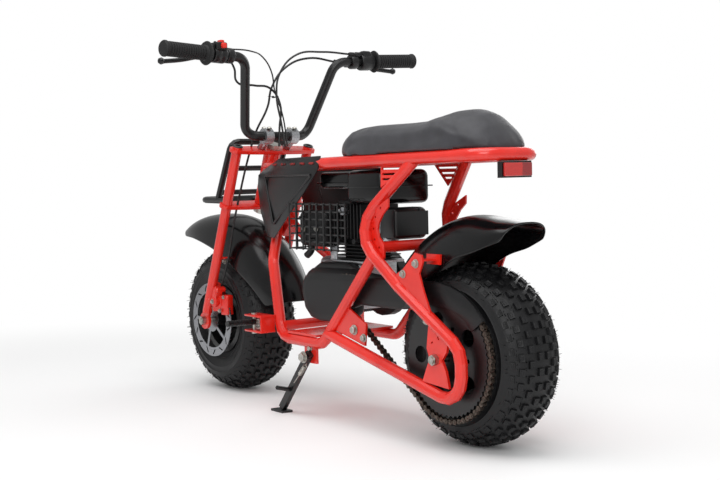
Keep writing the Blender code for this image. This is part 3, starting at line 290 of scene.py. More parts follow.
def settle(ob, body, kind, replaces=()):
    # Leans a piece modelled on the upright bike onto the stand, with its place kept in its mesh
    ob.data.transform(parked @ ob.matrix_world)
    ob.matrix_world = Matrix.Identity(4)
    ob.data.materials.clear()
    ob.data.materials.append(finish[kind])
    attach(ob, body)
    if replaces:
        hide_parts(*replaces)
    return ob


def startEdit(ob, kind="FACE"):
    pick(ob)
    bpy.ops.object.mode_set(mode="EDIT")
    bpy.ops.mesh.select_mode(type=kind)
    bpy.ops.mesh.select_all(action="SELECT")


def endEdit(ob):
    bpy.ops.mesh.select_all(action="SELECT")
    bpy.ops.mesh.remove_doubles(threshold=0.00001)
    bpy.ops.mesh.normals_make_consistent(inside=False)
    bpy.ops.object.mode_set(mode="OBJECT")
    return ob


def turned(name, profile, sides=24, ring=False, smooth=35):
    # A round piece about z, drawn out ring by ring; a ring piece comes back to its first circle
    radius, height = profile[0]
    deselectAll()
    bpy.ops.mesh.primitive_circle_add(vertices=sides, radius=radius, fill_type="NOTHING" if ring else "NGON",
                                      location=(0, 0, 0))
    ob = bpy.context.object
    ob.name = name
    startEdit(ob, "EDGE" if ring else "FACE")
    bpy.ops.transform.translate(value=(0, 0, height))
    for nextRadius, nextHeight in profile[1:] + (profile[:1] if ring else []):
        bpy.ops.mesh.extrude_region_move(TRANSFORM_OT_translate={"value": (0, 0, nextHeight - height)})
        ratio = nextRadius / radius
        bpy.ops.transform.resize(value=(ratio, ratio, 1), center_override=(0, 0, nextHeight))
        radius, height = nextRadius, nextHeight
    endEdit(ob)
    smoothBy(ob, smooth)
    return ob


def block(name, size, bevel=0.0, steps=2):
    # A box with rounded edges about the origin
    deselectAll()
    bpy.ops.mesh.primitive_cube_add(size=1, location=(0, 0, 0))
    ob = bpy.context.object
    ob.name = name
    startEdit(ob, "EDGE")
    bpy.ops.transform.resize(value=size, center_override=(0, 0, 0))
    if bevel:
        bpy.ops.mesh.bevel(offset=bevel, segments=steps, affect="EDGES")
    endEdit(ob)
    smoothBy(ob, 35)
    return ob


def blocks(rows):
    # Rounded boxes from rows of name, size, rim, steps of the rim and place
    return [stand(block(name, size, bevel, steps), place) for name, size, bevel, steps, place in rows]


def stand(ob, place, along=(0, 0, 1), turn=0.0):
    # Puts the piece's z axis along a direction, at a place
    up = Vector(along).normalized()
    side = "X" if abs(up.z) > 0.9 else "Y"
    spin = up.to_track_quat("Z", side).to_matrix().to_4x4() @ Matrix.Rotation(turn, 4, "Z")
    ob.data.transform(Matrix.Translation(place) @ spin)
    return ob


def twin(ob, matrix):
    # A copy with its own mesh, moved by the matrix
    made = ob.copy()
    made.data = ob.data.copy()
    bpy.context.scene.collection.objects.link(made)
    made.data.transform(matrix)
    return made


def fused(name, pieces):
    deselectAll()
    for ob in pieces:
        ob.select_set(True)
    bpy.context.view_layer.objects.active = pieces[0]
    if len(pieces) > 1:
        bpy.ops.object.join()
    pieces[0].name = name
    return pieces[0]


def allAround(ob, centre, count, start=0.0):
    # The piece and its copies, spaced evenly about an axle, in place of the piece
    made = []
    for i in range(count):
        spin = Matrix.Rotation(start + 2 * math.pi * i / count, 4, "Y")
        made.append(twin(ob, Matrix.Translation(centre) @ spin @ Matrix.Translation(-Vector(centre))))
    bpy.data.objects.remove(ob)
    return made


def slab(name, outline, low, high, bevel=0.0, steps=2):
    # A flat piece: an outline of x and z, drawn out from one y to another, its rims rounded
    deselectAll()
    bpy.ops.mesh.primitive_circle_add(vertices=len(outline), radius=0.1, fill_type="NGON", location=(0, 0, 0))
    ob = bpy.context.object
    ob.name = name
    for vertex, (x, z) in zip(ob.data.vertices, outline):
        vertex.co = (x, low, z)
    startEdit(ob)
    bpy.ops.mesh.extrude_region_move(TRANSFORM_OT_translate={"value": (0, high - low, 0)})
    endEdit(ob)
    return softened(ob, bevel, steps)


def softened(ob, bevel, steps=2):
    if bevel:
        stage = ob.modifiers.new("bevel", "BEVEL")
        stage.width, stage.segments, stage.limit_method = bevel, steps, "ANGLE"
        pick(ob)
        bpy.ops.object.modifier_apply(modifier="bevel")
    smoothBy(ob, 35)
    return ob


def rounded(places, radii, steps=8):
    # The line through the places with its corners turned into arcs
    line = [Vector(places[0])]
    for before, corner, after, radius in zip(places, places[1:], places[2:], radii):
        before, corner, after = Vector(before), Vector(corner), Vector(after)
        back, on = (before - corner).normalized(), (after - corner).normalized()
        turn = math.pi - back.angle(on)
        if turn < 0.02 or not radius:
            line.append(corner)
            continue
        reach = radius * math.tan(turn / 2)
        centre = corner + (back + on).normalized() * (radius / math.cos(turn / 2))
        first, last = corner + back * reach - centre, corner + on * reach - centre
        for i in range(steps + 1):
            share = i / steps
            spot = (first * math.sin((1 - share) * turn) + last * math.sin(share * turn)) / math.sin(turn)
            line.append(centre + spot)
    line.append(Vector(places[-1]))
    return line


def mirrored(ob):
    # The same piece on the bike's other side, with its own mesh
    other = twin(ob, Matrix.Scale(-1, 4, (0, 1, 0)))
    startEdit(other)
    endEdit(other)
    return other


def cable(name, points, radius, sides=3, steps=6, straight=False):
    # A bent round piece drawn as a curve through its points, then made a mesh
    deselectAll()
    bpy.ops.curve.primitive_bezier_curve_add(location=(0, 0, 0))
    ob = bpy.context.object
    ob.name = name
    line = ob.data.splines[0]
    line.bezier_points.add(len(points) - 2)
    for point, place in zip(line.bezier_points, points):
        point.co = place
        point.handle_left_type = point.handle_right_type = "VECTOR" if straight else "AUTO"
    ob.data.resolution_u = steps
    ob.data.bevel_depth = radius
    ob.data.bevel_resolution = sides
    ob.data.use_fill_caps = True
    pick(ob)
    bpy.ops.object.convert(target="MESH")
    ob = bpy.context.object
    startEdit(ob)
    endEdit(ob)
    smoothBy(ob, 50)
    return ob


# Seat: a foam pad under one piece of vinyl, swollen by cloth pressure between its pinched lower edges
seat = {"voxel": 0.005, "shrink": 0.002, "pressure": 4, "frames": 20, "cap": 0.003, "heldUnder": 0.579, "even": 5,
        "humpFrom": 0.060, "humpOver": 0.10, "sideFrom": 0.580, "sideOver": 0.06, "halfWidth": 0.085,
        "sideDrop": 0.034}


def swell(pad):
    cloth = pad.modifiers.new("cloth", "CLOTH")
    cloth.settings.use_pressure = True
    cloth.settings.uniform_pressure_force = seat["pressure"]
    cloth.settings.effector_weights.gravity = 0
    cloth.settings.vertex_group_mass = "held"
    for step in range(1, seat["frames"] + 1):
        bpy.context.scene.frame_set(step)
    pick(pad)
    bpy.ops.object.modifier_apply(modifier="cloth")
    bpy.context.scene.frame_set(1)


def seatCushion():
    pad = nodes["seat"].copy()
    pad.data = nodes["seat"].data.copy()
    pad.name = "seatCushion"
    pad.parent = None
    pad.matrix_world = Matrix.Identity(4)
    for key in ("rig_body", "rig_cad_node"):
        del pad[key]
    bpy.context.scene.collection.objects.link(pad)
    pad.data.transform(parked.inverted())
    pick(pad)
    bpy.ops.object.mode_set(mode="EDIT")
    bpy.ops.mesh.select_all(action="SELECT")
    bpy.ops.mesh.remove_doubles(threshold=0.0001)
    bpy.ops.object.mode_set(mode="OBJECT")
    inward = [v.co - v.normal * seat["shrink"] for v in pad.data.vertices]
    for vertex, place in zip(pad.data.vertices, inward):
        vertex.co = place
    remesh = pad.modifiers.new("remesh", "REMESH")
    remesh.mode = "VOXEL"
    remesh.voxel_size = seat["voxel"]
    pick(pad)
    bpy.ops.object.modifier_apply(modifier="remesh")
    for vertex in pad.data.vertices:
        place = vertex.co
        back = min(max((seat["humpFrom"] - place.x) / seat["humpOver"], 0.0), 1.0)
        high = min(max((place.z - seat["sideFrom"]) / seat["sideOver"], 0.0), 1.0)
        across = (abs(place.y) / seat["halfWidth"]) ** 2
        place.z -= seat["sideDrop"] * back * back * (3 - 2 * back) * high * across
    rest = [v.co.copy() for v in pad.data.vertices]
    held = pad.vertex_groups.new(name="held")
    held.add([i for i, place in enumerate(rest) if place.z < seat["heldUnder"]], 1.0, "REPLACE")
    swell(pad)
    for vertex, place in zip(pad.data.vertices, rest):
        away = vertex.co - place
        if away.length > seat["cap"]:
            vertex.co = place + away.normalized() * seat["cap"]
    even = pad.modifiers.new("even", "SMOOTH")
    even.factor = 0.5
    even.iterations = seat["even"]
    finer = pad.modifiers.new("finer", "SUBSURF")
    finer.levels = finer.render_levels = 1
    pick(pad)
    bpy.ops.object.modifier_apply(modifier="even")
    bpy.ops.object.modifier_apply(modifier="finer")
    pad.data.shade_smooth()
    return pad


cushion = settle(seatCushion(), "frame", "vinyl", ["seat"])
print("seat done")


# Tyres: a round casing with moulded ribs on its walls, square blocks in four rows a side and fine moulding hairs.
# Rows: how far out, their tilt, the casing's radius there, the block's width and length. Hairs: out, tilt, radius
tyre = {"steps": 72, "pitches": 38, "hairs": 460,
        "casing": [(0.0768, 0.0500), (0.0860, 0.0512), (0.0905, 0.0560), (0.0950, 0.0590), (0.0975, 0.0612),
                   (0.0990, 0.0600), (0.1080, 0.0655), (0.1185, 0.0685), (0.1200, 0.0697), (0.1215, 0.0687),
                   (0.1320, 0.0692), (0.1335, 0.0702), (0.1350, 0.0688), (0.1450, 0.0655), (0.1530, 0.0600),
                   (0.1600, 0.0515), (0.1655, 0.0420), (0.1705, 0.0290), (0.1738, 0.0145), (0.1750, 0.0)],
        "inside": [(0.0800, -0.0460), (0.1100, -0.0600), (0.1100, 0.0600), (0.0800, 0.0460)],
        "rows": [(0.0097, 4, 0.1748, 0.0125, 0.0155), (0.0285, 14, 0.1708, 0.0125, 0.0155),
                 (0.0455, 34, 0.1625, 0.0120, 0.0150), (0.0580, 55, 0.1510, 0.0110, 0.0145)],
        "block": {"high": 0.0046, "foot": 0.0024, "taper": 0.88, "border": 0.0026, "dish": -0.0007,
                  "step": 0.0008, "rise": 0.0006},
        "hairShape": [(0.0008, -0.002), (0.0006, 0.005), (0.0003, 0.012)], "hairLean": 0.4, "hairSize": (0.5, 0.93),
        "hairPlaces": [(0.037, 50, 0.1665), (0.0515, 56, 0.1575), (0.0515, 62, 0.1575), (0.065, 76, 0.1440)]}


def tyreCasing(name, centre):
    half = tyre["casing"]
    profile = [(radius, y) for radius, y in half] + [(radius, -y) for radius, y in reversed(half[:-1])]
    ob = turned(name, profile + tyre["inside"], tyre["steps"], ring=True, smooth=40)
    return stand(ob, centre, (0, 1, 0))


def treadBlock(y, tilt, radius, wide, long):
    # One block, narrower at its top, with soft corners, set down on the casing
    shape = tyre["block"]
    high = shape["high"] + shape["foot"]
    deselectAll()
    bpy.ops.mesh.primitive_cube_add(size=1, location=(0, 0, 0))
    ob = bpy.context.object
    startEdit(ob)
    bpy.ops.transform.resize(value=(long, wide, high), center_override=(0, 0, 0))
    bpy.ops.mesh.select_all(action="DESELECT")
    mesh = bmesh.from_edit_mesh(ob.data)
    for face in mesh.faces:
        face.select_set(face.normal.z > 0.9)
    bmesh.update_edit_mesh(ob.data)
    bpy.ops.transform.resize(value=(shape["taper"], shape["taper"], 1), center_override=(0, 0, high / 2))
    for border, lift in ((shape["border"], shape["dish"]), (shape["step"], shape["rise"])):
        bpy.ops.mesh.inset(thickness=border)
        bpy.ops.transform.translate(value=(0, 0, lift))
    bpy.ops.mesh.select_all(action="SELECT")
    bpy.ops.transform.translate(value=(0, 0, high / 2 - shape["foot"]))
    endEdit(ob)
    smoothBy(ob, 30)
    ob.data.transform(Matrix.Translation((0, y, radius)) @ Matrix.Rotation(math.radians(-tilt), 4, "X"))
    return ob


def tyreWhole(name, centre, seed):
    pieces = [tyreCasing(name, centre)]
    step = math.pi / tyre["pitches"]
    for row, (y, tilt, radius, wide, long) in enumerate(tyre["rows"]):
        for side in (1, -1):
            one = treadBlock(side * y, side * tilt, radius, wide, long)
            one.data.transform(Matrix.Translation(centre))
            pieces += allAround(one, centre, tyre["pitches"], step * (row % 2))
    hairs = random.Random(seed)
    hair = turned("hair", tyre["hairShape"], 5)
    sway = tyre["hairLean"]
    for i in range(tyre["hairs"]):
        y, tilt, reach = hairs.choice(tyre["hairPlaces"])
        side = hairs.choice((1, -1))
        lean = Matrix.Rotation(math.radians(-tilt * side), 4, "X")
        lean = lean @ Matrix.Rotation(hairs.uniform(-sway, sway), 4, "Y")
        size = Matrix.Scale(hairs.uniform(*tyre["hairSize"]), 4, (0, 0, 1))
        spin = Matrix.Rotation(hairs.uniform(0, 2 * math.pi), 4, "Y")
        place = Matrix.Translation(centre) @ spin @ Matrix.Translation((0, side * y, reach))
        pieces.append(twin(hair, place @ lean @ size))
    bpy.data.objects.remove(hair)
    return fused(name, pieces)


settle(tyreWhole("frontTyre", frontAxle, 3), "front_wheel", "tyre", ["front_tyre"])
settle(tyreWhole("rearTyre", rearAxle, 4), "rear_wheel", "tyre", ["rear_tyre"])
print("tyres done")


# Chain: side plates shaped like an eight over rollers, inner and outer links by turns
chain = {"pitch": 0.0127, "plane": 0.083, "radius": 0.1225, "front": (0.312, 0.294), "frontRadius": 0.028,
         "plate": 0.0012, "inner": 0.0024, "outer": 0.0038, "eye": 0.0052, "roller": 0.0040, "arcSteps": 120,
         "pin": (0.0018, 0.0056), "neck": 0.003, "waistLong": 0.05, "waistWide": 1.25}


def chainPins():
    # The pins' places along the closed loop round both sprockets
    start, end = Vector((0, bike["wheelRadius"])), Vector(chain["front"])
    reach = end - start
    along, far, near = math.atan2(reach.y, reach.x), chain["radius"], chain["frontRadius"]
    off = math.acos((far - near) / reach.length)
    path = []
    for centre, radius, first, last in ((start, far, along + off, along + 2 * math.pi - off),
                                        (end, near, along - off, along + off)):
        for i in range(chain["arcSteps"] + 1):
            angle = first + (last - first) * i / chain["arcSteps"]
            path.append(centre + Vector((math.cos(angle), math.sin(angle))) * radius)
    path.append(path[0])
    lengths = [(b - a).length for a, b in zip(path, path[1:])]
    links = round(sum(lengths) / chain["pitch"] / 2) * 2
    pins, piece, passed = [], 0, 0.0
    for i in range(links):
        want = sum(lengths) * i / links
        while passed + lengths[piece] < want:
            passed += lengths[piece]
            piece += 1
        pins.append(path[piece] + (path[piece + 1] - path[piece]).normalized() * (want - passed))
    return pins


def linkPlate():
    # A pressed side plate: a thin bar along x, drawn in at its waist and rounded at both eyes
    deselectAll()
    bpy.ops.mesh.primitive_cylinder_add(vertices=12, radius=chain["eye"], depth=chain["plate"], location=(0, 0, 0))
    ob = bpy.context.object
    startEdit(ob)
    bpy.ops.transform.translate(value=(chain["pitch"] / 2, 0, 0))
    bpy.ops.mesh.select_all(action="DESELECT")
    shape = bmesh.from_edit_mesh(ob.data)
    for face in shape.faces:
        face.select_set(face.normal.x < -0.8)
    bmesh.update_edit_mesh(ob.data)
    inwards = chain["neck"] - chain["pitch"] / 2
    bpy.ops.mesh.extrude_region_move(TRANSFORM_OT_translate={"value": (inwards, 0, 0)})
    bpy.ops.transform.resize(value=(chain["waistLong"], chain["waistWide"], 1), center_override=(0, 0, 0))
    endEdit(ob)
    half = twin(ob, Matrix.Rotation(math.pi, 4, "Z"))
    ob = fused("linkPlate", [ob, half])
    startEdit(ob)
    endEdit(ob)
    smoothBy(ob, 35)
    return ob


def wholeChain():
    pins = chainPins()
    plate = linkPlate()
    roller = turned("roller", [(chain["roller"], -chain["inner"]), (chain["roller"], chain["inner"])], 10)
    thick, half = chain["pin"]
    pin = turned("pin", [(thick, -half), (thick, half)], 8)
    pieces = []
    for i, place in enumerate(pins):
        ahead = pins[(i + 1) % len(pins)] - place
        turn = Matrix.Rotation(-math.atan2(ahead.y, ahead.x), 4, "Y") @ Matrix.Rotation(math.pi / 2, 4, "X")
        middle = (place + pins[(i + 1) % len(pins)]) / 2
        offset = chain["inner"] + chain["plate"] / 2 if i % 2 else chain["outer"] + chain["plate"] / 2
        for side in (1, -1):
            where = Vector((middle.x, chain["plane"] + side * offset, middle.y))
            pieces.append(twin(plate, Matrix.Translation(where) @ turn))
        here = Matrix.Translation((place.x, chain["plane"], place.y)) @ Matrix.Rotation(math.pi / 2, 4, "X")
        pieces += [twin(roller, here), twin(pin, here)]
    for ob in (plate, roller, pin):
        bpy.data.objects.remove(ob)
    return fused("chain", pieces)


settle(wholeChain(), "frame", "chain", ["drive_chain"])
print("chain done")


# Steering geometry, on the upright bike: down the fork from its caps, ahead of it and out to the side
fork = {"cap": Vector((0.705, 0, 0.607)), "out": 0.1015}
forkDown = (frontAxle - fork["cap"]).normalized()
forkAhead = Vector((-forkDown.z, 0, forkDown.x))


def alongFork(down, ahead=0.0, y=0.0):
    return fork["cap"] + forkDown * down + forkAhead * ahead + Vector((0, y, 0))


bar = {"bend": Vector((0.620, 0.128, 0.806)), "end": Vector((0.596, 0.347, 0.8148))}
barOut = (bar["end"] - bar["bend"]).normalized()


def onBar(y, side=1):
    # A place on the middle of the bar's end, so far out from the middle of the bike
    place = bar["bend"] + barOut * ((y - bar["bend"].y) / barOut.y)
    return Vector((place.x, side * place.y, place.z))


def barWay(side=1):
    return Vector((barOut.x, side * barOut.y, barOut.z))


# Grips: rubber sleeves with moulded bands, a wide flange inside and a bead at the outer end
grip = {"in": 0.238, "out": 0.352, "bandsFrom": 0.006, "bandsShort": 0.014, "pitch": 0.0064,
        "flange": [(0.0120, -0.004), (0.0255, -0.004), (0.0270, -0.0015), (0.0255, 0.001), (0.0185, 0.003)],
        "band": [(0.0168, 0.0), (0.0168, 0.0042), (0.0156, 0.0046), (0.0156, 0.0060)],
        "bead": [(0.0168, -0.010), (0.0182, -0.007), (0.0182, -0.003), (0.0160, 0.0), (0.0080, 0.001)]}


def barGrip(side):
    length = (onBar(grip["out"]) - onBar(grip["in"])).length
    profile = list(grip["flange"])
    height = grip["bandsFrom"]
    while height < length - grip["bandsShort"]:
        profile += [(radius, height + up) for radius, up in grip["band"]]
        height += grip["pitch"]
    profile += [(radius, length + up) for radius, up in grip["bead"]]
    return stand(turned("grip", profile, 32), onBar(grip["in"], side), barWay(side))


for side, word in ((1, "left"), (-1, "right")):
    settle(barGrip(side), "steering", "grip", ["grip_" + word])


# Levers: a clamp round the bar, a cast perch with its pivot bolt, a flat blade and a ball at its tip
lever = {"clamp": 0.176, "middle": 0.27, "tip": 0.328, "drop": 0.021, "thick": 0.0052,
         "arm": (0.034, 0.017, 0.014),
         "ring": [(0.0116, -0.009), (0.0165, -0.009), (0.0175, -0.007), (0.0175, 0.007), (0.0165, 0.009),
                  (0.0116, 0.009)],
         "pivot": [(0.0070, -0.010), (0.0075, -0.008), (0.0075, 0.008), (0.0060, 0.010), (0.0030, 0.0105)],
         "barrel": [(0.0062, 0), (0.0066, 0.002), (0.0066, 0.014), (0.0050, 0.015), (0.0050, 0.023),
                    (0.0034, 0.024)],
         "ball": [(0.0030, -0.0072), (0.0060, -0.0052), (0.0080, 0.0), (0.0060, 0.0052), (0.0030, 0.0072)],
         "armAt": (0.026, 0, 0), "pivotAt": (0.010, (0.038, 0, 0)), "barrelAt": (-0.004, (0.036, 0, 0.001))}


def leverOf(side):
    def near(y, away):
        return onBar(y, side) + Vector(away)

    at, drop = lever["clamp"], lever["drop"]
    clamp = stand(turned("clamp", lever["ring"], 32, ring=True), near(at, (0, 0, 0)), barWay(side))
    arm = stand(block("arm", lever["arm"], 0.0035), near(at, lever["armAt"]))
    out, away = lever["pivotAt"]
    pivot = stand(turned("pivot", lever["pivot"], 16), near(at + out, away))
    out, away = lever["barrelAt"]
    barrel = stand(turned("barrel", lever["barrel"], 14), near(at + out, away), (0.15, -side, 0.12))
    blade = cable("blade", [near(at + 0.006, (0.040, 0, 0)), near(at + 0.040, (0.055, 0, -0.001)),
                            near(lever["middle"], (0.058, 0, -0.6 * drop)),
                            near(lever["tip"] - 0.006, (0.052, 0, -drop))], lever["thick"], 3, 6)
    ball = stand(turned("ball", lever["ball"], 18), near(lever["tip"], (0.050, 0, -drop)), barWay(side))
    return fused("lever", [clamp, arm, pivot, barrel, blade, ball])


for side, word in ((1, "left"), (-1, "right")):
    settle(leverOf(side), "steering", "black", ["brake_lever_" + word])


# Switch block with two red rockers on the left, throttle housing with its cable boot on the right
switch = {"at": 0.206, "body": [(0.0116, -0.017), (0.0180, -0.017), (0.0195, -0.014), (0.0195, -0.001), (0.0188, 0.0),
                                (0.0195, 0.001), (0.0195, 0.014), (0.0180, 0.017), (0.0116, 0.017)],
          "box": (0.030, 0.030, 0.018), "boxAt": (-0.006, 0, 0.017),
          "screw": [(0.0032, 0), (0.0032, 0.0015), (0.0022, 0.0022)], "screwAt": (-0.006, 0, 0.0255),
          "screwsOut": (-0.009, 0.010),
          "rockers": [(0.200, (0.016, 0.011, 0.010), (-0.006, 0, 0.027)),
                      (0.203, (0.010, 0.012, 0.012), (-0.023, 0, 0.018))]}
throttle = {"at": 0.214, "body": [(0.0116, -0.020), (0.0200, -0.020), (0.0215, -0.017), (0.0215, 0.004),
                                  (0.0205, 0.0055), (0.0205, 0.014), (0.0190, 0.017), (0.0116, 0.017)],
            "throat": (0.020, 0.026, 0.022), "throatAt": (0.206, (-0.008, 0, 0.014)),
            "boot": [(0.0042, 0), (0.0060, 0.002), (0.0060, 0.018), (0.0048, 0.020), (0.0048, 0.034),
                     (0.0034, 0.038)], "bootAt": (0.196, (-0.008, 0, 0.016))}


def switchBlock():
    at = switch["at"]
    body = stand(turned("switchBody", switch["body"], 28, ring=True), onBar(at), barWay())
    box = stand(block("box", switch["box"], 0.004), onBar(at) + Vector(switch["boxAt"]))
    screw = turned("screw", switch["screw"], 10)
    screws = [twin(screw, Matrix.Translation(onBar(at + out) + Vector(switch["screwAt"])))
              for out in switch["screwsOut"]]
    bpy.data.objects.remove(screw)
    return fused("switchBlock", [body, box] + screws)


def rockers():
    return fused("rockers", [stand(block("rocker", size, 0.0025), onBar(y) + Vector(away))
                             for y, size, away in switch["rockers"]])


def throttleHousing():
    body = stand(turned("throttleBody", throttle["body"], 28, ring=True), onBar(throttle["at"], -1), barWay(-1))
    y, away = throttle["throatAt"]
    throat = stand(block("throat", throttle["throat"], 0.005), onBar(y, -1) + Vector(away))
    y, away = throttle["bootAt"]
    boot = stand(turned("boot", throttle["boot"], 14), onBar(y, -1) + Vector(away), (0.05, 1, 0.02))
    return fused("throttleHousing", [body, throat, boot])


settle(switchBlock(), "steering", "black", ["switch_block"])
settle(rockers(), "steering", "redPlastic")
settle(throttleHousing(), "steering", "black", ["throttle_housing"])
print("controls done")


# Fenders: one moulded skin over each tyre, drawn out station by station round its axle.
# Stations: the angle round the axle, the ridge's radius, half the width and how far the sides hang
fender = {"skin": 0.0030, "columns": 12, "roundness": 2.55, "rim": 0.0011,
          "front": [(48, 0.300, 0.050, 0.030), (56, 0.291, 0.064, 0.048), (66, 0.281, 0.073, 0.066),
                    (78, 0.270, 0.076, 0.080), (92, 0.263, 0.076, 0.090), (106, 0.260, 0.076, 0.098),
                    (120, 0.260, 0.076, 0.100), (134, 0.262, 0.076, 0.095), (148, 0.266, 0.073, 0.082),
                    (160, 0.266, 0.068, 0.064), (168, 0.261, 0.060, 0.048)],
          "rear": [(28, 0.2450, 0.0600, 0.050), (40, 0.2505, 0.0680, 0.065), (52, 0.2545, 0.0725, 0.085),
                   (64, 0.2590, 0.0740, 0.098), (76, 0.2665, 0.0745, 0.104), (88, 0.2745, 0.0745, 0.095),
                   (98, 0.2755, 0.0745, 0.080), (107, 0.2775, 0.0740, 0.068), (113, 0.2870, 0.0700, 0.055),
                   (119, 0.2980, 0.0580, 0.042)]}


def placeRow(rowVerts, station, axle):
    angle, radius, half, depth = station
    turn = math.radians(angle)
    count = len(rowVerts) - 1
    power = 2 / fender["roundness"]
    for i, vert in enumerate(sorted(rowVerts, key=lambda v: v.co.y)):
        across = math.pi * (i / count - 0.5)
        share = math.copysign(abs(math.sin(across)) ** power, across)
        reach = radius - depth * (1 - max(math.cos(across), 0.0) ** power)
        vert.co = axle + Vector((reach * math.cos(turn), share * half, reach * math.sin(turn)))


def fenderSkin(name, table, axle):
    deselectAll()
    bpy.ops.mesh.primitive_grid_add(x_subdivisions=1, y_subdivisions=fender["columns"], size=0.1, location=axle)
    ob = bpy.context.object
    ob.name = name
    ob.data.transform(ob.matrix_world)
    ob.matrix_world = Matrix.Identity(4)
    startEdit(ob, "EDGE")
    bpy.ops.mesh.select_all(action="DESELECT")
    shape = bmesh.from_edit_mesh(ob.data)
    middle = sum(v.co.x for v in shape.verts) / len(shape.verts)
    ends = [v for v in shape.verts if v.co.x < middle], [v for v in shape.verts if v.co.x >= middle]
    placeRow(ends[0], table[0], axle)
    placeRow(ends[1], table[1], axle)
    reach = math.radians(table[1][0])
    for edge in shape.edges:
        if all(abs(math.atan2(v.co.z - axle.z, v.co.x - axle.x) - reach) < 0.001 for v in edge.verts):
            edge.select_set(True)
    bmesh.update_edit_mesh(ob.data)
    for station in table[2:]:
        bpy.ops.mesh.extrude_region_move(TRANSFORM_OT_translate={"value": (0, 0, 0)})
        shape = bmesh.from_edit_mesh(ob.data)
        placeRow({v for edge in shape.edges if edge.select for v in edge.verts}, station, axle)
        bmesh.update_edit_mesh(ob.data)
    endEdit(ob)
    for kind, settings in (("SUBSURF", {"levels": 2, "render_levels": 2}),
                           ("SMOOTH", {"factor": 0.5, "iterations": 4}),
                           ("SOLIDIFY", {"thickness": fender["skin"], "offset": -1}),
                           ("BEVEL", {"width": fender["rim"], "segments": 2, "limit_method": "ANGLE"})):
        stage = ob.modifiers.new(kind.lower(), kind)
        for key, value in settings.items():
            setattr(stage, key, value)
        pick(ob)
        bpy.ops.object.modifier_apply(modifier=stage.name)
    smoothBy(ob, 50)
    return ob


settle(fenderSkin("frontFender", fender["front"], frontAxle), "steering", "gloss", ["front_fender"])
settle(fenderSkin("rearFender", fender["rear"], rearAxle), "frame", "gloss", ["rear_fender"])
print("fenders done")


# Bolts: a hexagon head with turned-down corners on a washer
def boltPiece():
    washer = turned("washer", [(1.0, 0.0), (1.04, 0.04), (1.04, 0.14), (1.0, 0.18)], 20)
    head = turned("head", [(0.80, 0.18), (0.80, 0.66), (0.68, 0.76), (0.30, 0.76), (0.26, 0.68)], 6)
    return fused("bolt", [washer, head])


# Rows by body: the place, the way it points and the washer's radius
bolts = {
    "frame": [((0.053, 0.1127, 0.361), (0, 1, 0), 0.0085), ((0.092, 0.1127, 0.339), (0, 1, 0), 0.0080),
              ((0.260, 0.1068, 0.213), (0, 1, 0), 0.0105), ((0.229, 0.1068, 0.199), (0, 1, 0), 0.0085),
              ((0.049, 0.0917, 0.248), (0, 1, 0), 0.0075), ((0.418, 0.1092, 0.158), (0, 1, 0), 0.0070),
              ((0.424, 0.0805, 0.418), (0, 1, 0), 0.0065), ((0.472, 0.0805, 0.418), (0, 1, 0), 0.0065)],
    "side_stand": [((0.418, 0.1268, 0.141), (0, 1, 0), 0.0125)],
    "steering": [((0.842, 0.1058, 0.262), (0, 1, 0), 0.0062), ((0.850, 0.1058, 0.238), (0, 1, 0), 0.0062),
                 ((0.832, 0.1058, 0.228), (0, 1, 0), 0.0050),
                 ((0.8145, 0.0800, 0.329), (0, 1, 0), 0.0065),
                 ((0.8330, 0.1070, 0.2300), (0, 1, 0), 0.0060), ((0.8440, 0.0975, 0.2130), (0, 1, 0), 0.0050),
                 ((0.8160, 0.0975, 0.2080), (0, 1, 0), 0.0050), ((0.8060, 0.0920, 0.2420), (0, 1, 0), 0.0050),
                 ((0.6905, 0.036, 0.6478), (0.2, 0, 1), 0.0062), ((0.6675, 0.036, 0.6468), (0.2, 0, 1), 0.0062),
                 ((0.6905, -0.036, 0.6478), (0.2, 0, 1), 0.0062), ((0.6675, -0.036, 0.6468), (0.2, 0, 1), 0.0062)],
}


def allBolts():
    one = boltPiece()
    for body, rows in bolts.items():
        made = []
        for place, way, radius in rows:
            spin = Vector(way).to_track_quat("Z", "Y").to_matrix().to_4x4()
            made.append(twin(one, Matrix.Translation(place) @ spin @ Matrix.Scale(radius, 4)))
        settle(fused("bolts" + body, made), body, "zinc")
    bpy.data.objects.remove(one)


allBolts()
print("bolts done")


# Foot pegs: a red bracket of two ears and a serrated black steel rod through them
peg = {"root": Vector((0.600, 0.1295, 0.2035)), "length": 0.078, "radius": 0.0072, "teeth": 12, "valley": 0.78,
       "ears": [("ear", (0.070, 0.040, 0.0045), 0.0015, 2, (0.588, 0.1285, 0.1835)),
                ("ear", (0.070, 0.040, 0.0045), 0.0015, 2, (0.588, 0.1285, 0.2185)),
                ("web", (0.0045, 0.038, 0.036), 0.0012, 2, (0.556, 0.1285, 0.201))],
       "pin": [(0.0060, -0.024), (0.0060, -0.0195), (0.0034, -0.0190), (0.0034, 0.0195), (0.0060, 0.0200),
               (0.0060, 0.0235)], "pinAt": (0.600, 0.136, 0.201),
       "coilAt": (0.578, 0.136, 0.189), "coilRadius": 0.0075, "coilPitch": 0.0035, "coilTurns": 7}


def pegRod(side):
    radius, valley = peg["radius"], peg["radius"] * peg["valley"]
    profile = [(0.0040, 0.0), (0.0072, 0.0)]
    pitch = peg["length"] / peg["teeth"]
    for i in range(peg["teeth"]):
        profile += [(radius, i * pitch + 0.001), (radius, i * pitch + pitch * 0.55),
                    (valley, i * pitch + pitch * 0.7), (valley, i * pitch + pitch * 0.95)]
    profile += [(radius, peg["length"]), (radius * 0.8, peg["length"] + 0.002)]
    root = Vector((peg["root"].x, side * peg["root"].y, peg["root"].z))
    return stand(turned("pegRod", profile, 16), root, (0, side, 0.02))


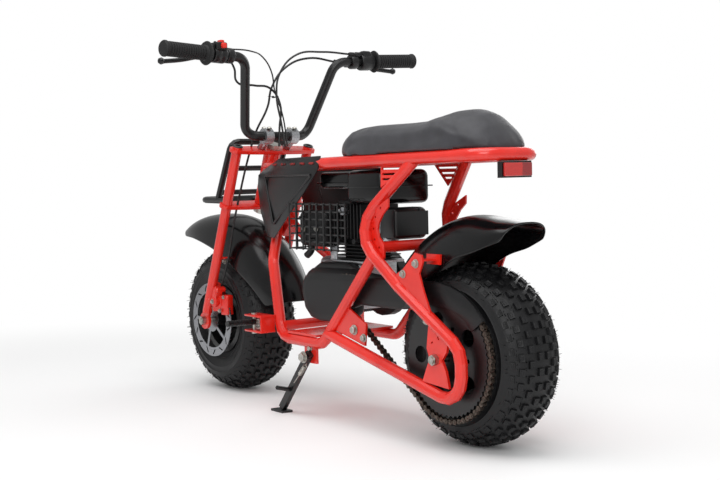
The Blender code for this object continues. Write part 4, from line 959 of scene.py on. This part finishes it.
def pegBracket(side):
    return fused("pegBracket", blocks([(name, size, bevel, steps, (x, side * y, z))
                                       for name, size, bevel, steps, (x, y, z) in peg["ears"]]))


def pegPins(side):
    x, y, z = peg["pinAt"]
    pin = stand(turned("pin", peg["pin"], 12), (x, side * y, z))
    x, y, z = peg["coilAt"]
    coil = []
    for i in range(8 * peg["coilTurns"] + 1):
        angle = i * math.pi / 4
        coil.append((x + peg["coilRadius"] * math.cos(angle), side * y + peg["coilRadius"] * math.sin(angle),
                     z + peg["coilPitch"] * i / 8))
    return fused("pegPins", [pin, cable("spring", coil, 0.0010, 1, 1)])


for side, word in ((1, "left"), (-1, "right")):
    settle(pegBracket(side), "frame", "red", ["foot_peg_" + word])
    settle(pegRod(side), "frame", "black")
    settle(pegPins(side), "frame", "zinc")
print("foot pegs done")


# Cables, each with its radius and its own places between the levers, the tie by the bar and the fork or frame
cables = {
    "frontBrake": (0.0026, [onBar(0.160, -1) + Vector((0.038, 0.006, 0.003)), (0.668, -0.085, 0.818),
                            (0.672, -0.020, 0.795), (0.671, 0.024, 0.745), (0.680, 0.031, 0.700),
                            (0.712, 0.046, 0.640), (0.724, 0.058, 0.590), (0.749, 0.071, 0.498),
                            (0.762, 0.084, 0.420), (0.783, 0.086, 0.348), (0.812, 0.086, 0.290),
                            (0.829, 0.085, 0.262)]),
    "rearBrake": (0.0026, [onBar(0.160) + Vector((0.036, -0.004, 0.003)), (0.668, 0.128, 0.785),
                           (0.668, 0.122, 0.755), (0.668, 0.075, 0.748), (0.668, 0.030, 0.742),
                           (0.664, 0.006, 0.705), (0.660, 0.012, 0.650), (0.655, 0.018, 0.605)]),
    "throttle": (0.0024, [onBar(0.163, -1) + Vector((-0.008, 0.004, 0.018)), (0.616, -0.085, 0.828),
                          (0.640, -0.030, 0.822), (0.660, 0.006, 0.780), (0.660, 0.018, 0.725),
                          (0.655, 0.010, 0.660), (0.650, 0.004, 0.605)]),
    "killWire": (0.0018, [onBar(0.186) + Vector((-0.004, 0, 0.014)), (0.628, 0.105, 0.822),
                          (0.650, 0.060, 0.812), (0.664, 0.028, 0.780), (0.664, 0.020, 0.735),
                          (0.658, 0.004, 0.680), (0.652, -0.004, 0.605)]),
}
for name, (radius, places) in cables.items():
    settle(cable(name + "Cable", places, radius, 2, 8), "steering", "sheath")

tie = {"place": Vector((0.664, 0.018, 0.722)), "way": (0.05, 0.2, 1), "radius": 0.0060, "thick": 0.0011,
       "half": 0.0016, "head": (0.0052, 0.0046, 0.0050), "tail": (0.0024, 0.014, 0.0010)}


def zipTie():
    # A flat strap round the bundle with its square head and a cut tail
    place, near, far, half = tie["place"], tie["radius"], tie["radius"] + tie["thick"], tie["half"]
    band = stand(turned("band", [(near, -half), (far, -half), (far, half), (near, half)], 18, ring=True),
                 place, tie["way"])
    ends = blocks([("head", tie["head"], 0.0006, 1, place + Vector((0, near + 0.002, 0))),
                   ("tail", tie["tail"], 0.0003, 1, place + Vector((0.002, near + 0.008, 0.001)))])
    return fused("zipTie", [band] + ends)


settle(zipTie(), "steering", "sheath")
print("cables done")


# Stand spring: a coil between two straight hooks beside the leg
standCoil = {"top": Vector((0.405, 0.1290, 0.128)), "low": Vector((0.455, 0.1290, 0.080)), "wire": 0.0009,
             "from": 0.008, "long": 0.030, "radius": 0.0042, "turns": 16, "hooks": (0.008, 0.020, 0.040)}


def standSpring():
    top, low, steps = standCoil["top"], standCoil["low"], 6 * standCoil["turns"]
    way = (low - top).normalized()
    side = Vector((0, 1, 0))
    third = way.cross(side)
    turns = []
    for i in range(steps + 1):
        angle = i * math.pi / 3
        turns.append(top + way * (standCoil["from"] + standCoil["long"] * i / steps)
                     + (side * math.cos(angle) + third * math.sin(angle)) * standCoil["radius"])
    coil = cable("coil", turns, standCoil["wire"], 1, 1)
    hooks = cable("hooks", [top] + [top + way * far for far in standCoil["hooks"]] + [low], standCoil["wire"], 1, 3)
    return fused("standSpring", [coil, hooks])


settle(standSpring(), "side_stand", "zinc")


# Smooth tubes: the seat rail bent round behind the seat, the handlebar and the right cradle tube
tubes = {
    "seatRail": ("frame", "red", "seat_rail", 0.0130, [0.060, 0, 0.045, 0.045, 0, 0.060],
                 [(0.694, 0.026, 0.556), (0.400, 0.073, 0.5605), (0.173, 0.073, 0.5640), (-0.100, 0.073, 0.5675),
                  (-0.100, -0.073, 0.5675), (0.173, -0.073, 0.5640), (0.400, -0.073, 0.5605),
                  (0.694, -0.026, 0.556)]),
    "handlebar": ("steering", "black", "handlebar", 0.0111, [0.035, 0.030, 0, 0, 0.030, 0.035],
                  [(0.596, 0.347, 0.8148), (0.620, 0.128, 0.806), (0.694, 0.088, 0.634), (0.680, 0.052, 0.630),
                   (0.680, -0.052, 0.630), (0.694, -0.088, 0.634), (0.620, -0.128, 0.806), (0.596, -0.347, 0.8148)]),
    "rightCradle": ("frame", "red", "cradle_right", 0.0125, [0.030, 0.045, 0.040],
                    [(0.662, -0.021, 0.417), (0.596, -0.082, 0.340), (0.541, -0.100, 0.1715),
                     (0.376, -0.105, 0.1705), (0.188, -0.108, 0.3695)]),
}
for name, (body, kind, node, radius, bends, places) in tubes.items():
    settle(cable(name, rounded(places, bends), radius, 5, 1, True), body, kind, [node])
print("tubes done")


# Belt cover: a moulded tray with a sloping top, its tail and the guard that arcs over the sprocket
cover = {"in": 0.0765, "out": 0.0900, "deep": 0.002, "steps": [(0.0045, 0.0020), (0.010, 0.0006)], "topLift": 0.012,
         "outline": [(0.4735, 0.278), (0.4715, 0.297), (0.462, 0.311), (0.446, 0.3195), (0.420, 0.322),
                     (0.300, 0.3245), (0.150, 0.3255), (0.116, 0.321), (0.105, 0.306), (0.107, 0.278),
                     (0.118, 0.265), (0.150, 0.2635), (0.262, 0.2630), (0.296, 0.252), (0.328, 0.231),
                     (0.360, 0.2200), (0.405, 0.2175), (0.441, 0.2240), (0.463, 0.243)],
         "guardOut": [(62, 0.1640), (72, 0.1530), (84, 0.1460), (97, 0.1415), (112, 0.1380), (128, 0.1355),
                      (143, 0.1340)],
         "guardIn": [(143, 0.0960), (126, 0.0960), (108, 0.0965), (90, 0.0985), (72, 0.1040), (56, 0.1140)],
         "guardFoot": [(0.125, 0.325), (0.125, 0.266)], "lip": (0.0022, 0.0070),
         "tab": [(0.069, 0.272), (0.068, 0.246), (0.043, 0.236), (0.034, 0.256)], "tabThick": 0.0018}


def roundAxle(rows, grow=0.0):
    return [((r + grow) * math.cos(math.radians(a)), bike["wheelRadius"] + (r + grow) * math.sin(math.radians(a)))
            for a, r in rows]


def beltCover():
    low, high = cover["in"], cover["out"]
    tray = slab("tray", cover["outline"], low, high - cover["deep"])
    startEdit(tray)
    bpy.ops.mesh.select_all(action="DESELECT")
    shape = bmesh.from_edit_mesh(tray.data)
    for face in shape.faces:
        face.select_set(face.normal.y > 0.9)
    bmesh.update_edit_mesh(tray.data)
    for inset, lift in cover["steps"]:
        bpy.ops.mesh.inset(thickness=inset)
        bpy.ops.transform.translate(value=(0, lift, 0))
    endEdit(tray)
    for vertex in tray.data.vertices:
        if vertex.co.y < low + 0.001 and vertex.co.z > 0.300 and vertex.co.x > 0.2:
            vertex.co.z += cover["topLift"]
    first, last = cover["guardFoot"]
    guard = slab("guard", [first] + roundAxle(cover["guardOut"]) + roundAxle(cover["guardIn"]) + [last],
                 high - cover["deep"], high, 0.0005)
    lipThick, lipDeep = cover["lip"]
    lip = slab("lip", roundAxle(cover["guardOut"]) + roundAxle(cover["guardOut"][::-1], -lipThick),
               high - lipDeep, high, 0.0006)
    tab = slab("tab", cover["tab"], high, high + cover["tabThick"], 0.0006)
    return fused("beltCover", [softened(tray, 0.0016, 3), guard, lip, tab])


settle(beltCover(), "frame", "coverBlack", ["drive_cover"])
print("belt cover done")


# Engine: crankcase, side housing, finned barrel under a finned head, carburettor and plug
engine = {"side": [(0.468, 0.300), (0.455, 0.330), (0.425, 0.345), (0.330, 0.347), (0.305, 0.335), (0.300, 0.240),
                   (0.330, 0.222), (0.430, 0.222), (0.460, 0.245)], "sideFrom": 0.044, "sideTo": 0.0755,
          "middle": 0.345, "fin": 0.0024, "finRim": 0.0009, "finLow": 0.397, "finHigh": 0.472,
          "barrelFin": (0.104, 0.102), "barrelFins": (0.346, 6, 0.0075), "headFin": 0.105,
          "headFins": (0.3030, 9, 0.0116),
          "barrel": ("barrel", (0.078, 0.070, 0.128), 0.006, 2, (0.345, 0.0, 0.414)),
          "rocker": ("rocker", (0.088, 0.088, 0.010), 0.003, 2, (0.345, 0, 0.4745)),
          "boss": [(0.0060, 0), (0.0060, 0.020), (0.0050, 0.021)],
          "bosses": [(0.318, 0.040, 0.392), (0.374, 0.040, 0.392)],
          "metal": [("case", (0.150, 0.112, 0.112), 0.014, 3, (0.400, -0.015, 0.2983)),
                    ("joint", (0.118, 0.108, 0.006), 0.002, 2, (0.345, 0, 0.3475)),
                    ("carb", (0.034, 0.044, 0.040), 0.006, 3, (0.252, 0.012, 0.428))],
          "bowl": [(0.017, -0.036), (0.018, -0.034), (0.018, -0.014), (0.015, -0.012)],
          "neck": [(0.013, 0), (0.013, 0.034)],
          "plug": [(0.0058, 0), (0.0058, 0.010), (0.0090, 0.011), (0.0090, 0.017), (0.0045, 0.018), (0.0045, 0.026)],
          "bracket": [(0.412, 0.349), (0.412, 0.372), (0.404, 0.380), (0.388, 0.380), (0.388, 0.349)]}


def engineBlock():
    side = slab("side", engine["side"], engine["sideFrom"], engine["sideTo"], 0.010, 3)
    thick, rim, middle = engine["fin"], engine["finRim"], engine["middle"]
    rows = [engine["barrel"]]
    low, count, pitch = engine["barrelFins"]
    rows += [("fin", engine["barrelFin"] + (thick,), rim, 1, (middle, 0, low + pitch * i)) for i in range(count)]
    low, count, pitch = engine["headFins"]
    high = engine["finHigh"] - engine["finLow"]
    rows += [("fin", (thick, engine["headFin"], high), rim, 1, (low + pitch * i, 0, engine["finLow"] + high / 2))
             for i in range(count)]
    pieces = blocks(rows + [engine["rocker"]])
    for place in engine["bosses"]:
        pieces.append(stand(turned("boss", engine["boss"], 14), place, (0, 1, 0)))
    return fused("engineBlock", [side] + pieces)


def engineMetal():
    pieces = blocks(engine["metal"])
    pieces.append(stand(turned("bowl", engine["bowl"], 20), (0.252, 0.012, 0.424)))
    pieces.append(stand(turned("neck", engine["neck"], 20), (0.266, 0.012, 0.430), (1, 0, 0)))
    pieces.append(stand(turned("plug", engine["plug"], 12), (0.352, 0.046, 0.455), (0, 1, 0.1)))
    pieces.append(slab("bracket", engine["bracket"], 0.050, 0.0525, 0.0005))
    return fused("engineMetal", pieces)


settle(engineBlock(), "frame", "castBlack", ["engine"])
settle(engineMetal(), "frame", "castAlu")
print("engine done")


# Fuel tank of two pressed halves, air filter box and muffler, each built up of rounded boxes
boxes = {
    "fuelTank": [("tankBody", (0.118, 0.138, 0.072), 0.014, 4, (0.272, 0, 0.508)),
                 ("nose", (0.150, 0.128, 0.036), 0.010, 4, (0.359, 0, 0.5235)),
                 ("seam", (0.124, 0.146, 0.0028), 0.0010, 2, (0.272, 0, 0.509)),
                 ("brow", (0.158, 0.136, 0.0040), 0.0015, 2, (0.359, 0, 0.5165))],
    "filterBox": [("filterBody", (0.050, 0.090, 0.066), 0.013, 4, (0.201, 0.015, 0.4325)),
                  ("lid", (0.044, 0.0030, 0.058), 0.0012, 2, (0.201, 0.0605, 0.4325)),
                  ("rib", (0.0016, 0.086, 0.050), 0.0006, 1, (0.1755, 0.015, 0.4325)),
                  ("rib", (0.052, 0.0020, 0.060), 0.0008, 1, (0.201, -0.006, 0.4325))],
    "mufflerBox": [("mufflerBody", (0.098, 0.058, 0.078), 0.013, 4, (0.448, 0.050, 0.4175)),
                   ("seam", (0.102, 0.0025, 0.082), 0.0010, 2, (0.448, 0.052, 0.4175)),
                   ("port", (0.024, 0.036, 0.036), 0.004, 2, (0.393, 0.028, 0.4175)),
                   ("rib", (0.0040, 0.060, 0.070), 0.0015, 2, (0.430, 0.0505, 0.4175)),
                   ("rib", (0.0040, 0.060, 0.070), 0.0015, 2, (0.466, 0.0505, 0.4175))],
}
tailPipe = {"radius": 0.0080, "places": [(0.470, 0.060, 0.380), (0.474, 0.062, 0.366), (0.486, 0.064, 0.356)]}


def fuelTank():
    return fused("fuelTank", blocks(boxes["fuelTank"]))


def filterBox():
    return fused("filterBox", blocks(boxes["filterBox"]))


def mufflerBox():
    pipe = cable("tailPipe", tailPipe["places"], tailPipe["radius"], 4, 6)
    return fused("mufflerBox", blocks(boxes["mufflerBox"]) + [pipe])


settle(fuelTank(), "frame", "gloss", ["fuel_tank"])
settle(filterBox(), "frame", "black", ["air_filter"])
settle(mufflerBox(), "frame", "castBlack", ["muffler"])


# Wire cage round the muffler: welded wires, upright and level, on its side and its front
cage = {"wire": 0.0019, "rear": 0.304, "front": 0.5105, "out": 0.0925, "in": 0.030, "low": 0.374, "high": 0.4720,
        "uprights": 9, "frontUprights": 3, "levels": 7, "past": 0.003, "bend": 0.004, "behind": 0.0022,
        "stays": [(0.4330, 0.078, 0.3975), (0.4720, 0.078, 0.4440)]}


def wireCage():
    low, high, front, out = cage["low"], cage["high"], cage["front"], cage["out"]
    past, bend, behind = cage["past"], cage["bend"], cage["behind"]
    count = cage["uprights"] - 1
    feet = [(cage["rear"] + (front - cage["rear"]) * i / count, out) for i in range(count + 1)]
    count = cage["frontUprights"]
    feet += [(front, cage["in"] + (out - cage["in"]) * i / count) for i in range(count)]
    wires = [[(x, y, low - past), (x, y, high + past)] for x, y in feet]
    count = cage["levels"] - 1
    for i in range(count + 1):
        z = low + (high - low) * i / count
        wires.append([(cage["rear"] - bend, out - behind, z), (front - bend, out - behind, z),
                      (front - behind, out - behind - bend, z), (front - behind, cage["in"] - bend, z)])
    wires += [[(x, y, z), (x, out, z)] for x, y, z in cage["stays"]]
    return fused("wireCage", [cable("wire", places, cage["wire"], 1, 1, True) for places in wires])


settle(wireCage(), "frame", "black", ["muffler_cage"])
print("tank, filter, muffler and cage done")


# Neck shields: a bent panel with a slanted band on top, five slots filled with dim red pieces of painted shade, a
# raised triangular border and a folded flank
shield = {"thick": 0.0024, "rim": 0.0008, "cord": 0.0031, "cordShort": 0.02,
          "rows": [[(0.684, 0.041, 0.5510), (0.597, 0.058, 0.5745), (0.405, 0.078, 0.5770)],
                   [(0.686, 0.0575, 0.5380), (0.600, 0.072, 0.5465), (0.402, 0.0895, 0.5465)],
                   [(0.686, 0.0600, 0.5120), (0.630, 0.0745, 0.4990), (0.454, 0.0890, 0.4990)],
                   [(0.672, 0.0625, 0.4520), (0.645, 0.0690, 0.4400), (0.533, 0.0840, 0.4400)],
                   [(0.640, 0.0665, 0.396), (0.620, 0.0700, 0.3930), (0.602, 0.0735, 0.3920)]],
          "border": [(0.636, 0.0735, 0.536), (0.424, 0.0905, 0.536), (0.597, 0.0795, 0.424)],
          "slots": (0.434, 0.606, 5), "slot": (0.019, 0.0040, 0.0050), "slotHigh": 0.5615, "slotTilt": -27,
          "slotTurn": -0.09, "slotY": [(0.416, 0.0850), (0.597, 0.0655)]}


def neckShield():
    rows = shield["rows"]
    deselectAll()
    bpy.ops.mesh.primitive_grid_add(x_subdivisions=len(rows[0]) - 1, y_subdivisions=len(rows) - 1, size=0.1,
                                    location=(0, 0, 0))
    panel = bpy.context.object
    places = [Vector(place) for row in rows for place in row]
    for vertex, place in zip(panel.data.vertices, places):
        vertex.co = place
    stage = panel.modifiers.new("solidify", "SOLIDIFY")
    stage.thickness, stage.offset = shield["thick"], 0
    pick(panel)
    bpy.ops.object.modifier_apply(modifier="solidify")
    softened(panel, shield["rim"])
    corner, short = [Vector(place) for place in shield["border"]], shield["cordShort"]
    lines = [cable("border", [a + (b - a) * short, b + (a - b) * short], shield["cord"], 2, 1, True)
             for a, b in zip(corner, corner[1:] + corner[:1])]
    startEdit(panel)
    endEdit(panel)
    return fused("neckShield", [panel] + lines)


# Slot pieces: solid blocks in the shield's slots, coloured dim red as painted shade for the red neck in shadow behind
# them
def shieldSlotShades():
    first, last, count = shield["slots"]
    (rear, rearY), (ahead, aheadY) = shield["slotY"]
    made = []
    for i in range(count):
        x = first + (last - first) * i / (count - 1)
        y = rearY + (aheadY - rearY) * (x - rear) / (ahead - rear)
        slot = block("slot", shield["slot"], 0.0012, 2)
        slot.data.transform(Matrix.Rotation(math.radians(shield["slotTilt"]), 4, "X"))
        made.append(stand(slot, (x, y, shield["slotHigh"]), (0, 0, 1), shield["slotTurn"]))
    return fused("shieldSlotShades", made)


leftShield, leftSlotShades = neckShield(), shieldSlotShades()
rightShield, rightSlotShades = mirrored(leftShield), mirrored(leftSlotShades)
settle(leftShield, "frame", "black", ["neck_shield_left"])
settle(rightShield, "frame", "black", ["neck_shield_right"])
# The slot pieces carry the painted shade of the red neck behind the shields
settle(leftSlotShades, "frame", "slotRed")
settle(rightSlotShades, "frame", "slotRed")
print("shields done")


# Fork clamps: thick plates with round ends about the legs, deeper in the middle
clamp = {"thick": 0.009, "rim": 0.0012, "ring": 0.0180, "belly": 0.0195, "shoulder": (0.058, 0.97), "middle": 0.020,
         "downs": (0.010, 0.152),
         "cap": [(0.0125, 0), (0.0125, 0.0015), (0.0105, 0.0030), (0.0060, 0.0030), (0.0060, 0.0010)]}


def clampPlate(down):
    outline, (out, share) = [], clamp["shoulder"]
    belly, middle = clamp["belly"], clamp["middle"]
    for side, start in ((1, -60), (-1, 120)):
        for i in range(9):
            angle = math.radians(start + 120 * i / 8)
            outline.append((side * fork["out"] + clamp["ring"] * math.cos(angle), clamp["ring"] * math.sin(angle)))
        outline += [(side * out, side * belly * share), (side * middle, side * belly),
                    (-side * middle, side * belly), (-side * out, side * belly * share)]
    plate = slab("clampPlate", outline, -clamp["thick"] / 2, clamp["thick"] / 2, clamp["rim"])
    turn = Matrix(((0, -forkDown.x, forkAhead.x, 0), (1, 0, 0, 0), (0, -forkDown.z, forkAhead.z, 0), (0, 0, 0, 1)))
    plate.data.transform(Matrix.Translation(alongFork(down)) @ turn)
    startEdit(plate)
    endEdit(plate)
    return plate


# Caliper: its two castings, its drum and the lever arm that the cable pulls; each box also has its turn
caliper = {"boxes": [("casting", (0.040, 0.026, 0.040), 0.006, 3, (0.8300, 0.0845, 0.2250), 0.4),
                     ("casting", (0.026, 0.022, 0.050), 0.005, 3, (0.8080, 0.0810, 0.2220), 0.2),
                     ("arm", (0.010, 0.004, 0.040), 0.0016, 2, (0.8250, 0.1030, 0.2480), -0.3)],
           "drum": [(0.013, 0), (0.014, 0.002), (0.014, 0.014), (0.010, 0.017)], "drumAt": (0.8330, 0.0900, 0.2300)}


def caliperBody():
    pieces = [stand(block(name, size, bevel, steps), place, turn=turn)
              for name, size, bevel, steps, place, turn in caliper["boxes"]]
    pieces.append(stand(turned("drum", caliper["drum"], 20), caliper["drumAt"], (0, 1, 0)))
    return fused("caliperBody", pieces)


settle(caliperBody(), "steering", "red")
settle(clampPlate(clamp["downs"][0]), "steering", "red", ["upper_clamp"])
settle(clampPlate(clamp["downs"][1]), "steering", "red", ["lower_clamp"])
caps = [stand(turned("cap", clamp["cap"], 24), alongFork(0.0005, 0, y), -forkDown)
        for y in (fork["out"], -fork["out"])]
settle(fused("forkCaps", caps), "steering", "black")
print("clamps done")


# Camera where the photograph was taken, on the upright bike
camera = {"place": (-1.68735, 1.59048, 0.53798), "right": (-0.61189, -0.79064, -0.02206),
          "up": (0.03114, -0.05194, 0.99816), "forward": (0.79033, -0.61008, -0.05640),
          "lens": 59.28, "sensor": 36}


def placeCamera():
    data = bpy.data.cameras.new("photoCamera")
    data.sensor_width = camera["sensor"]
    data.lens = camera["lens"]
    ob = bpy.data.objects.new("photoCamera", data)
    bpy.context.scene.collection.objects.link(ob)
    turn = Matrix((Vector(camera["right"]), Vector(camera["up"]), -Vector(camera["forward"]))).transposed()
    ob.matrix_world = parked @ Matrix.Translation(camera["place"]) @ turn.to_4x4()
    bpy.context.scene.camera = ob


# Studio: white paper floor and sky, one wide lamp above and two softer ones at the sides
studio = {"floor": 14, "fadeFrom": 0.9, "fadeTo": 2.2, "sky": 0.55,
          "lamps": [("above", (-0.3, 0.6, 2.6), (2.6, 2.0), 42), ("behindLeft", (-2.2, 2.0, 1.6), (1.6, 1.6), 26),
                    ("right", (0.8, -2.4, 1.4), (1.8, 1.4), 16)], "aim": (0, 0, 0.35)}


def seenStraight(material):
    # The camera sees plain white paper; mirrors see the dimmer studio
    return addNode(material, "LightPath").outputs["Is Camera Ray"]


def paperFloor():
    deselectAll()
    bpy.ops.mesh.primitive_plane_add(size=studio["floor"])
    floor = bpy.context.object
    floor.name = "paperFloor"
    made, place = newMaterial("whitePaper", Base_Color="#F4F4F4", Roughness=0.9, Specular_IOR_Level=0.1)
    reach = addNode(made, "VectorMath", {"operation": "LENGTH"})
    made.node_tree.links.new(place, reach.inputs[0])
    far = addNode(made, "MapRange", {"interpolation_type": "SMOOTHSTEP"}, Value=reach.outputs["Value"],
                  From_Min=studio["fadeFrom"], From_Max=studio["fadeTo"])
    amount = addNode(made, "Math", {"operation": "MULTIPLY"})
    made.node_tree.links.new(far.outputs["Result"], amount.inputs[0])
    made.node_tree.links.new(seenStraight(made), amount.inputs[1])
    white = addNode(made, "Emission", Color="#FFFFFF", Strength=1.0)
    mixed = addNode(made, "MixShader", Fac=amount.outputs[0])
    tree = made.node_tree
    tree.links.new(tree.nodes["Principled BSDF"].outputs[0], mixed.inputs[1])
    tree.links.new(white.outputs[0], mixed.inputs[2])
    tree.links.new(mixed.outputs[0], tree.nodes["Material Output"].inputs["Surface"])
    floor.data.materials.append(made)


def sky():
    world = bpy.data.worlds.new("studioSky")
    world.use_nodes = True
    bpy.context.scene.world = world
    background = world.node_tree.nodes["Background"]
    background.inputs["Color"].default_value = (1, 1, 1, 1)
    strength = addNode(world, "MapRange", Value=seenStraight(world), To_Min=studio["sky"], To_Max=1.0)
    world.node_tree.links.new(strength.outputs["Result"], background.inputs["Strength"])


def lamps():
    for name, place, size, power in studio["lamps"]:
        data = bpy.data.lights.new(name, "AREA")
        data.shape = "RECTANGLE"
        data.size, data.size_y = size
        data.energy = power
        ob = bpy.data.objects.new(name, data)
        bpy.context.scene.collection.objects.link(ob)
        ob.location = place
        ob.rotation_euler = (Vector(studio["aim"]) - ob.location).to_track_quat("-Z", "Y").to_euler()


placeCamera()
paperFloor()
sky()
lamps()
bpy.context.scene.view_settings.view_transform = "Standard"
print("studio done")

deselectAll()
